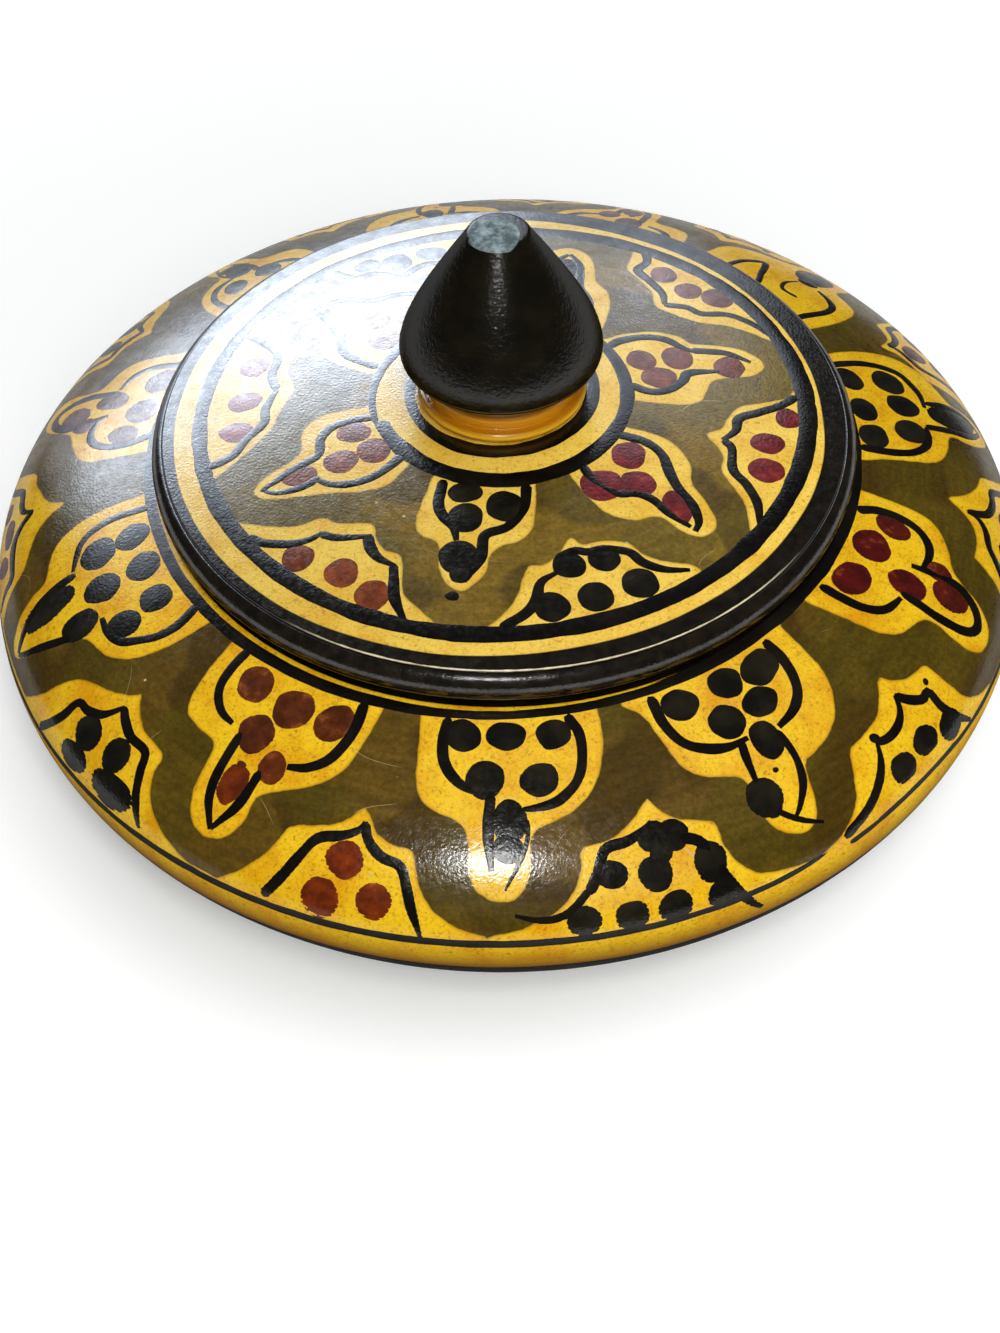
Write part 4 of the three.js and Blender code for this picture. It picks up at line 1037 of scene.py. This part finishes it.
def worn_black_knob():
    """Black milk paint on turned hardwood: satin, faintly gritty, rubbed grey on its top. The pale line round
    its foot is its worn edge and a painted highlight.
    """
    material, tree, shader, where = new_material(
        "worn_black_paint", IOR=1.5, Coat_IOR=4.0, Coat_Roughness=0.17, Specular_IOR_Level=0.0)
    height = add(tree, "ShaderNodeSeparateXYZ", {0: where})[2]
    grit = add(tree, "ShaderNodeTexNoise", {"Vector": where, **noise_of(0.5, 3.0, 0.65)})["Fac"]
    broad = add(tree, "ShaderNodeTexNoise", {"Vector": where, **noise_of(3, 3.0, 0.6)})["Fac"]
    brown = add(tree, "ShaderNodeMapRange", {"Value": broad, "From Min": 0.4, "From Max": 0.75})[0]
    colour = add(tree, "ShaderNodeMix", {0: brown, 6: hex_colour("#0E0C07"), 7: hex_colour("#1A160E")},
                 data_type="RGBA")[2]
    level = add(tree, "ShaderNodeVectorMath", {0: where, 1: (1.1, 0.95, 0)}, operation="MULTIPLY")[0]
    away = add(tree, "ShaderNodeVectorMath", {0: level, 1: (-0.5 * MM, -0.8 * MM, 0)},
               operation="DISTANCE")["Value"]
    away = add(tree, "ShaderNodeMath", {0: broad, 1: 1.0 * MM, 2: away}, operation="MULTIPLY_ADD")[0]
    rubbed = add(tree, "ShaderNodeMapRange",
                 {"Value": away, "From Min": 3.4 * MM, "From Max": 3.25 * MM})[0]
    upper = add(tree, "ShaderNodeMath", {0: height, 1: (KNOB_TOP - 0.4) * MM}, operation="GREATER_THAN")[0]
    rubbed = add(tree, "ShaderNodeMath", {0: rubbed, 1: upper}, operation="MULTIPLY")[0]
    scuffed = add(tree, "ShaderNodeTexNoise", {"Vector": where, **noise_of(1.2, 3.0, 0.65)})["Fac"]
    chalky = add(tree, "ShaderNodeMapRange", {"Value": scuffed, "From Min": 0.38, "From Max": 0.66})[0]
    grey = add(tree, "ShaderNodeMix", {0: chalky, 6: hex_colour("#48565A"), 7: hex_colour("#93A4A9")},
               data_type="RGBA")[2]
    colour = add(tree, "ShaderNodeMix", {0: rubbed, 6: colour, 7: grey}, data_type="RGBA")[2]
    # a pale line round the foot: the worn edge, and a painted highlight where it catches the light
    low = add(tree, "ShaderNodeMath", {0: height, 1: (KNOB_BOTTOM + 0.62) * MM}, operation="SUBTRACT")[0]
    low = add(tree, "ShaderNodeMath", {0: low}, operation="ABSOLUTE")[0]
    line = add(tree, "ShaderNodeMapRange",
               {"Value": low, "From Min": 0.16 * MM, "From Max": 0.05 * MM, "To Max": 0.5})[0]
    colour = add(tree, "ShaderNodeMix", {0: line, 6: colour, 7: hex_colour("#7C6A4A")}, data_type="RGBA")[2]
    tree.links.new(colour, shader.inputs["Base Color"])
    rough = add(tree, "ShaderNodeMapRange", {"Value": grit, "To Min": 0.34, "To Max": 0.6})[0]
    tree.links.new(rough, shader.inputs["Roughness"])
    whole = add(tree, "ShaderNodeMath", {0: rubbed, 1: -0.075, 2: 0.09}, operation="MULTIPLY_ADD")[0]
    tree.links.new(whole, shader.inputs["Coat Weight"])
    bump = add(tree, "ShaderNodeBump", {"Strength": 1.0, "Distance": 0.06 * MM, "Height": grit})[0]
    tree.links.new(bump, shader.inputs["Normal"])
    tree.links.new(bump, shader.inputs["Coat Normal"])
    return material


# Making the pieces

lay_group = lay_on_turned_form()
turning = turning_tree()
brushing = brushing_tree(lay_group)
dotting = dotting_tree(lay_group)
line_paint = brushed_black("lamp_black_lines", "#090705", "#16120C", 6)
black_dot_paint = brushed_black("lamp_black_dots", "#0E0D08", "#221E14", 4)
reds = {"bowl": dotted_colour("earth_reds_on_the_bowl", "#7A2E0A", "#58290F", "#54110E"),
        "lid": dotted_colour("earth_reds_on_the_lid", "#86421E", "#76381E", "#7A262A")}


SAME_POINT = 0.01


def turned_piece(name, line, segments, material, along):
    """A piece turned to its line. Along is the length along that line from where the painting starts."""
    clean = [line[0]] + [b for a, b in zip(line[:-1], line[1:]) if math.dist(a, b) > SAME_POINT]
    mesh = line_mesh(name, [[(r, 0, z) for r, z in clean]], {"along": [along(np.array(clean))]})
    return made_by(turning, name, mesh, {"Segments": segments, "Material": material})


def along_bowl(line):
    """Length along the bowl's line, downwards from the shoulder's top edge."""
    far = lengths(line)
    edge = np.argmin(np.hypot(line[:, 0] - EDGE_RADIUS, line[:, 1] - EDGE_HEIGHT))
    return far[edge] - far


def along_lid(line):
    """Length along the lid's line, counted so that it is the radius at the arris."""
    far = lengths(line)
    arris = np.argmin(np.hypot(line[:, 0] - ARRIS_RADIUS, line[:, 1] - top_height(ARRIS_RADIUS)))
    return far[arris] - far + ARRIS_RADIUS


bowl_paint = painted_ground(
    "varnished_bowl_paint", yellow="#ECC01E", deep_yellow="#DA9C0B", brown="#83500B",
    olive="#44330C", warm_olive="#594413", green_olive="#4E430E")
lid_paint = painted_ground(
    "varnished_lid_paint", yellow="#EAC755", deep_yellow="#DDAE38", brown="#8F6718",
    olive="#52421A", warm_olive="#745D20", green_olive="#625522", crease=ARRIS_RADIUS)
bowl = turned_piece("bowl_turned", bowl_line(), 560, bowl_paint, along_bowl)
lid = turned_piece("lid_turned", lid_line(), 440, lid_paint, along_lid)
collar = turned_piece("collar_turned", collar_line(), 128, amber_collar(), lengths)
knob = turned_piece("knob_turned", knob_line(), 144, worn_black_knob(), lengths)

on_bowl = bowl_motifs()
on_lid = lid_motifs()

place = coordinates(bowl)
down = read(bowl, "along")
round_box = np.arctan2(place[:, 1], place[:, 0])
radius = np.hypot(place[:, 0], place[:, 1])


def bowl_flat(middle):
    """Every point of the bowl in the flat drawing about a motif's middle."""
    off = (round_box - math.radians(middle) + math.pi) % (2 * math.pi) - math.pi
    return np.stack([off * radius, -down], 1)


# In mm down from the seat's edge: where the painting starts, yellow as far as the first line, the ornament,
# yellow again below the last line, then the band, darkened towards its foot as painted shade, whose foot
# leans a little, and black under that
PAINT_TOP = -0.35
SEAT_YELLOW = 0.9
ARCH_YELLOW = 22.9
BAND_TOP = 23.4
BAND_FOOT = 27.5
BAND_LEAN = 0.5
LEAN_TOWARDS = -60

lean = BAND_LEAN * np.sin(math.radians(LEAN_TOWARDS) - round_box)
plain_yellow = np.maximum(down - ARCH_YELLOW, SEAT_YELLOW - down)
store(bowl, "ground", np.maximum(yellow_reach(on_bowl, bowl_flat), plain_yellow))
# painted shade: the band's paint darkens towards its foot, where the bowl turns under
store(bowl, "band", down - BAND_TOP)
store(bowl, "dark", np.maximum(down - BAND_FOOT - lean, PAINT_TOP - down))

# The lid's outer band of yellow was drawn off centre, its black rim starts at an uneven radius round the
# lid, its crease carries a pale line at the front that is worn paint and a painted highlight, and its paint
# is lighter towards the right as painted light, with its olive thinner there
OUTER_YELLOW = 33.3
OUTER_YELLOW_BACK = -0.85
RIM = [(-150, 36.75), (-120, 36.8), (-105, 36.45), (-90, 36.25), (-60, 36.05), (-30, 35.8), (0, 35.45),
       (20, 35.25), (60, 35.05), (100, 35.3), (140, 35.95), (180, 36.6)]
GLINT_TOWARDS = -82
GLINT_FROM = 0.72             # cosine of the angle away from there at which the pale line, wear and painted highlight, has ended
GLINT_GAIN = 8
LIT_AND_THINNED_OVER = 210.0         # mm to the right over which the olive would thin away and the painted light grow by nine tenths

place_lid = coordinates(lid)
across, back = place_lid[:, 0], place_lid[:, 1]
round_lid = np.arctan2(back, across)
from_middle = np.hypot(across, back)
on_top = read(lid, "along") < TOP_RADIUS + 0.1
plan = yellow_reach(on_lid, lambda middle: place_lid[:, :2])
outer = np.hypot(across, back - OUTER_YELLOW_BACK) - OUTER_YELLOW
store(lid, "ground", np.maximum(plan, np.maximum(outer, INNER_RING - from_middle)))
# painted highlight: the crease's pale line fades away from the front, where the flash glints on it
facing = np.cos(round_lid - math.radians(GLINT_TOWARDS))
store(lid, "wear_and_glint", np.clip((facing - GLINT_FROM) * GLINT_GAIN, 0.0, 1.0))
rim_starts = np.interp(np.degrees(round_lid), *zip(*RIM), period=360)
store(lid, "dark", np.where(on_top, from_middle - rim_starts, 1.0))
# painted light: the lid's paint is lighter, and its olive thinner, towards the right
store(lid, "thinned_and_lit", across / LIT_AND_THINNED_OVER)

# The rings, each brushed in one go round the turning box: degrees, then radius or mm down, then width
RINGS = {
    "under the collar": [(-110, 10.25, 1.85), (-60, 10.0, 1.8), (0, 10.1, 1.5), (90, 10.2, 1.7),
                         (180, 10.3, 1.1), (215, 10.35, 1.3), (240, 10.3, 1.8), (274, 10.25, 1.9)],
    "round the collar": [(-161, 14.1, 1.6), (-140, 14.2, 1.9), (-90, 14.4, 2.0), (-60, 14.25, 1.9),
                         (-20, 13.95, 1.6), (20, 13.7, 1.4), (90, 13.8, 1.4), (150, 14.0, 1.4),
                         (180, 14.45, 0.9), (204, 14.7, 0.7)],
    "at the lid's edge": [(-3, 33.95, 2.1), (40, 33.6, 2.1), (80, 32.5, 2.2), (110, 32.5, 2.0),
                          (150, 33.25, 1.6), (180, 33.8, 1.65), (210, 34.05, 1.8), (240, 34.2, 1.75),
                          (262, 34.1, 1.8), (280, 33.9, 1.85), (300, 33.85, 1.85), (330, 33.75, 2.0),
                          (362, 33.95, 2.1)],
    "at the seat": [(20, 1.1, 1.3), (120, 1.15, 1.3), (210, 1.35, 1.3), (230, 1.25, 1.3), (260, 1.1, 1.05),
                    (280, 0.85, 1.05), (300, 0.65, 1.25), (320, 0.6, 1.25), (340, 0.8, 1.3),
                    (382, 1.1, 1.3)],
    "at the widest circle": [(-56.4, 23.3, 0.6), (-50, 22.95, 0.6), (-44, 22.85, 0.6), (-36, 23.4, 0.65),
                             (0, 23.5, 0.8), (180, 23.8, 0.8), (215, 23.95, 0.8), (240, 23.6, 0.8),
                             (260, 23.6, 0.85), (280, 23.35, 0.8), (295, 23.1, 0.7), (302.5, 22.7, 0.4)],
}


def ring_line(name, from_above):
    """A ring's widths and its flat line, with points a few degrees apart."""
    turn, reach, width = np.array(RINGS[name]).T
    angles = np.arange(turn[0], turn[-1] + 1, 3)
    reach, width = (np.interp(angles, turn, numbers) for numbers in (reach, width))
    reach[1:-1] = np.convolve(reach, (0.25, 0.5, 0.25), "valid")
    if from_above:
        return width, np.stack([reach * np.cos(np.radians(angles)), reach * np.sin(np.radians(angles))], 1)
    return width, flat(np.stack([angles, reach], 1), 0)


# The brush: the length over which a stroke runs out, how far it wanders, and how high its paint stands
FLICK, WANDER = 3.5, 0.13
RING_FLICK, RING_WANDER = 1.5, 0.05
DOT_SPREAD = 1.04            # a drop's rim is sunk in the surface, so it is made this much wider
LINE_RISE = 0.07             # as a share of the stroke's width
BLACK_DOT_RISE = 0.03
RED_DOT_RISE = 0.02


def paint_on(name, profile, motifs, rings, from_above, body):
    """Brushes a surface's lines and sets its dots. Lines, black dots and red dots are each a piece."""
    strokes = [(motif["middle"], width, points, FLICK, WANDER)
               for motif in motifs for width, points in motif["lines"]]
    strokes += [(0, width, points, RING_FLICK, RING_WANDER) for width, points in rings]
    start = line_mesh(name, [[(x, y, 0) for x, y in points] for _, _, points, _, _ in strokes], {
        "middle": [math.radians(middle) for middle, _, _, _, _ in strokes],
        "width": [np.multiply(width, MM) for _, width, _, _, _ in strokes],
        "flick": [flick * MM for _, _, _, flick, _ in strokes],
        "wander": [wander * MM for _, _, _, _, wander in strokes]})
    sizes = {"Profile": profile, "Seen From Above": from_above}
    line_sizes = {**sizes, "Paint Height": LINE_RISE, "Material": line_paint}
    made = [made_by(brushing, name + "_brush_lines", start, line_sizes)]
    for label, is_black, height, material in (("black_dots", True, BLACK_DOT_RISE, black_dot_paint),
                                              ("red_dots", False, RED_DOT_RISE, reds[name])):
        dots = [(motif["middle"], *dot) for motif in motifs for dot in motif["dots"]
                if (dot[2] is None) == is_black]
        mesh = line_mesh(name, [[(*at, 0)] for _, at, _, _ in dots], {
            "middle": [math.radians(middle) for middle, _, _, _ in dots],
            "tone": [tone or 0.0 for _, _, _, tone in dots]})
        size = mesh.attributes.new("size", "FLOAT_VECTOR", "POINT")
        spread = [(wide * DOT_SPREAD, high * DOT_SPREAD, 1) for _, _, (wide, high), _ in dots]
        size.data.foreach_set("vector", [number * MM for numbers in spread for number in numbers])
        dot_sizes = {**sizes, "Paint Height": height, "Material": material}
        made.append(made_by(dotting, f"{name}_{label}", mesh, dot_sizes))
    for piece in made:
        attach(piece, body)


shoulder_points = [(r, 0, z) for r, z in shoulder_line]
crown_points = [(r, 0, top_height(r)) for r in np.linspace(0, TOP_RADIUS, 60)]
shoulder_guide = link("shoulder_guide", line_mesh("shoulder_guide", [shoulder_points]))
crown_guide = link("crown_guide", line_mesh("crown_guide", [crown_points]))
bowl_rings = [ring_line(name, False) for name in ("at the seat", "at the widest circle")]
lid_rings = [ring_line(name, True) for name in ("under the collar", "round the collar", "at the lid's edge")]
paint_on("bowl", shoulder_guide, on_bowl, bowl_rings, False, "base")
paint_on("lid", crown_guide, on_lid, lid_rings, True, "cover")
for guide in (shoulder_guide, crown_guide):
    bpy.data.objects.remove(guide)

for piece, node, body, slot in ((bowl, "bowl", "base", "painted_bowl"),
                                (lid, "lid", "cover", "painted_lid"),
                                (collar, "collar", "cover", "amber_collar"),
                                (knob, "knob", "cover", "black_knob")):
    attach(piece, body)
    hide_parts(node)


# Floor, light and camera

# In metres, as the lamps' places and sizes are. The drop keeps the foot and the floor from being one face
FLOOR_HALF = 3.0
FLOOR_DROP = 0.02 * MM

floor_mesh = bpy.data.meshes.new("floor")
corners = [(x * FLOOR_HALF, y * FLOOR_HALF, -FLOOR_DROP) for x, y in ((-1, -1), (1, -1), (1, 1), (-1, 1))]
floor_mesh.from_pydata(corners, [], [(0, 1, 2, 3)])
floor = link("floor", floor_mesh)
# White to the eye and in the varnish; the light that it throws back at the object is a table's
board, board_tree, board_shader, board_place = new_material(
    "matt_white_board", Roughness=0.9, Specular_IOR_Level=0.0)
ray = add(board_tree, "ShaderNodeLightPath")
shown = add(board_tree, "ShaderNodeMath", {0: ray["Is Camera Ray"], 1: ray["Is Glossy Ray"]},
            operation="MAXIMUM")[0]
shown = add(board_tree, "ShaderNodeMath", {0: shown, 1: ray["Is Transmission Ray"]}, operation="MAXIMUM")[0]
paint = add(board_tree, "ShaderNodeMix", {0: shown, 6: hex_colour("#B8B4AE"), 7: hex_colour("#FBFDFF")},
            data_type="RGBA")[2]
board_tree.links.new(paint, board_shader.inputs["Base Color"])
# painted light: seen by the camera and the varnish, the floor glows less near the box and more far off
far_off = add(board_tree, "ShaderNodeVectorMath", {0: board_place}, operation="LENGTH")["Value"]
glow = add(board_tree, "ShaderNodeMapRange",
           {"Value": far_off, "From Min": 0.07, "From Max": 0.3, "To Min": 0.14, "To Max": 0.6})[0]
bright = add(board_tree, "ShaderNodeMath", {0: shown, 1: glow}, operation="MULTIPLY")[0]
board_shader.inputs["Emission Color"].default_value = (1, 1, 1, 1)
board_tree.links.new(bright, board_shader.inputs["Emission Strength"])
floor_mesh.materials.append(board)

world = bpy.data.worlds.new("studio")
bpy.context.scene.world = world
world.use_nodes = True
background = world.node_tree.nodes["Background"]
background.inputs["Color"].default_value = (1, 1, 1, 1)
background.inputs["Strength"].default_value = 0.04

# Where most lamps point, and the light of a window and of a lamp
AIM = (0, 0, 0.03)
GLASS_LIGHT = "#E2EEFF"
BULB_LIGHT = "#FFFCF6"


def lamp(name, place, target, size, power, colour="#FFFFFF", height=None, only=None):
    """A soft lamp that faces its target: round, or with a height a rectangle. It may light only the paint,
    or be mirrored only by the varnish."""
    light = bpy.data.lights.new(name, "AREA")
    light.shape = "RECTANGLE" if height else "DISK"
    light.size = size
    if height:
        light.size_y = height
    light.energy = power
    light.color = hex_colour(colour)[:3]
    lit = bpy.data.objects.new(name, light)
    bpy.context.scene.collection.objects.link(lit)
    lit.location = place
    lit.rotation_euler = (Vector(target) - Vector(place)).to_track_quat("-Z", "Y").to_euler()
    lit.visible_diffuse = only != "varnish"
    lit.visible_glossy = only != "paint"


# A bright window low behind and to the left. Its brightest pane, its side and the pale wall round it are
# lamps of their own that only the varnish mirrors, and so is a gap of light further right. Soft fill from
# the front and from above isn't mirrored. The camera's small flash makes the sharp glints on the front,
# the knob and the collar
lamp("window", (-0.2827, 0.845, 0.484), AIM, 0.64, 1.0, "#ECF4FF", 0.46)
lamp("window_glare", (-0.235, 0.85, 0.485), AIM, 0.56, 6.0, GLASS_LIGHT, 0.46, "varnish")
lamp("window_pane", (-0.22, 0.838, 0.515), AIM, 0.28, 1.9, GLASS_LIGHT, 0.19, "varnish")
lamp("window_gap", (0.18, 0.85, 0.46), AIM, 0.07, 0.14, GLASS_LIGHT, 0.06, "varnish")
lamp("window_side", (-0.52, 0.67, 0.44), AIM, 0.24, 1.7, GLASS_LIGHT, 0.26, "varnish")
lamp("window_surround", (-0.242, 0.902, 0.465), AIM, 1.3, 8.0, GLASS_LIGHT, 0.9, "varnish")
lamp("front_fill", (0.12, -0.54, 0.52), AIM, 0.5, 2.85, BULB_LIGHT, only="paint")
lamp("flash_fill", (0.01, -0.13, 0.2), (0, -0.01, 0.03), 0.05, 0.12, BULB_LIGHT, only="paint")
lamp("overhead_fill", (0.24, 0.0, 1.03), AIM, 0.9, 5.2, only="paint")
lamp("flash_glow", (-0.01, -0.119, 0.172), (0, -0.03, 0.03), 0.04, 0.004, only="varnish")
lamp("flash", (-0.01, -0.119, 0.172), (0, -0.03, 0.03), 0.01, 0.12, only="varnish")

# The photograph's camera: its frame's height and its focal length are in the photograph's pixels
SENSOR = 36
FRAME_HEIGHT = 1333
FOCAL_LENGTH = 1400
PITCH, YAW, ROLL = 51.30, -0.58, -1.83
CAMERA_PLACE = (0, -0.12116, 0.13744)

camera_data = bpy.data.cameras.new("camera")
camera = bpy.data.objects.new("camera", camera_data)
bpy.context.scene.collection.objects.link(camera)
bpy.context.scene.camera = camera
camera_data.sensor_width = SENSOR
camera_data.lens = SENSOR * FOCAL_LENGTH / FRAME_HEIGHT
camera_data.clip_start = 0.01
pitch, yaw, roll = (math.radians(a) for a in (PITCH, YAW, ROLL))
ahead = Vector((math.sin(yaw) * math.cos(pitch), math.cos(yaw) * math.cos(pitch), -math.sin(pitch)))
right = ahead.cross(Vector((0, 0, 1))).normalized()
above = right.cross(ahead)
x_way = math.cos(roll) * right + math.sin(roll) * above
y_way = -math.sin(roll) * right + math.cos(roll) * above
turn = Matrix((x_way, y_way, -ahead)).transposed().to_4x4()
camera.matrix_world = Matrix.Translation(CAMERA_PLACE) @ turn

bpy.context.scene.view_settings.view_transform = "Standard"
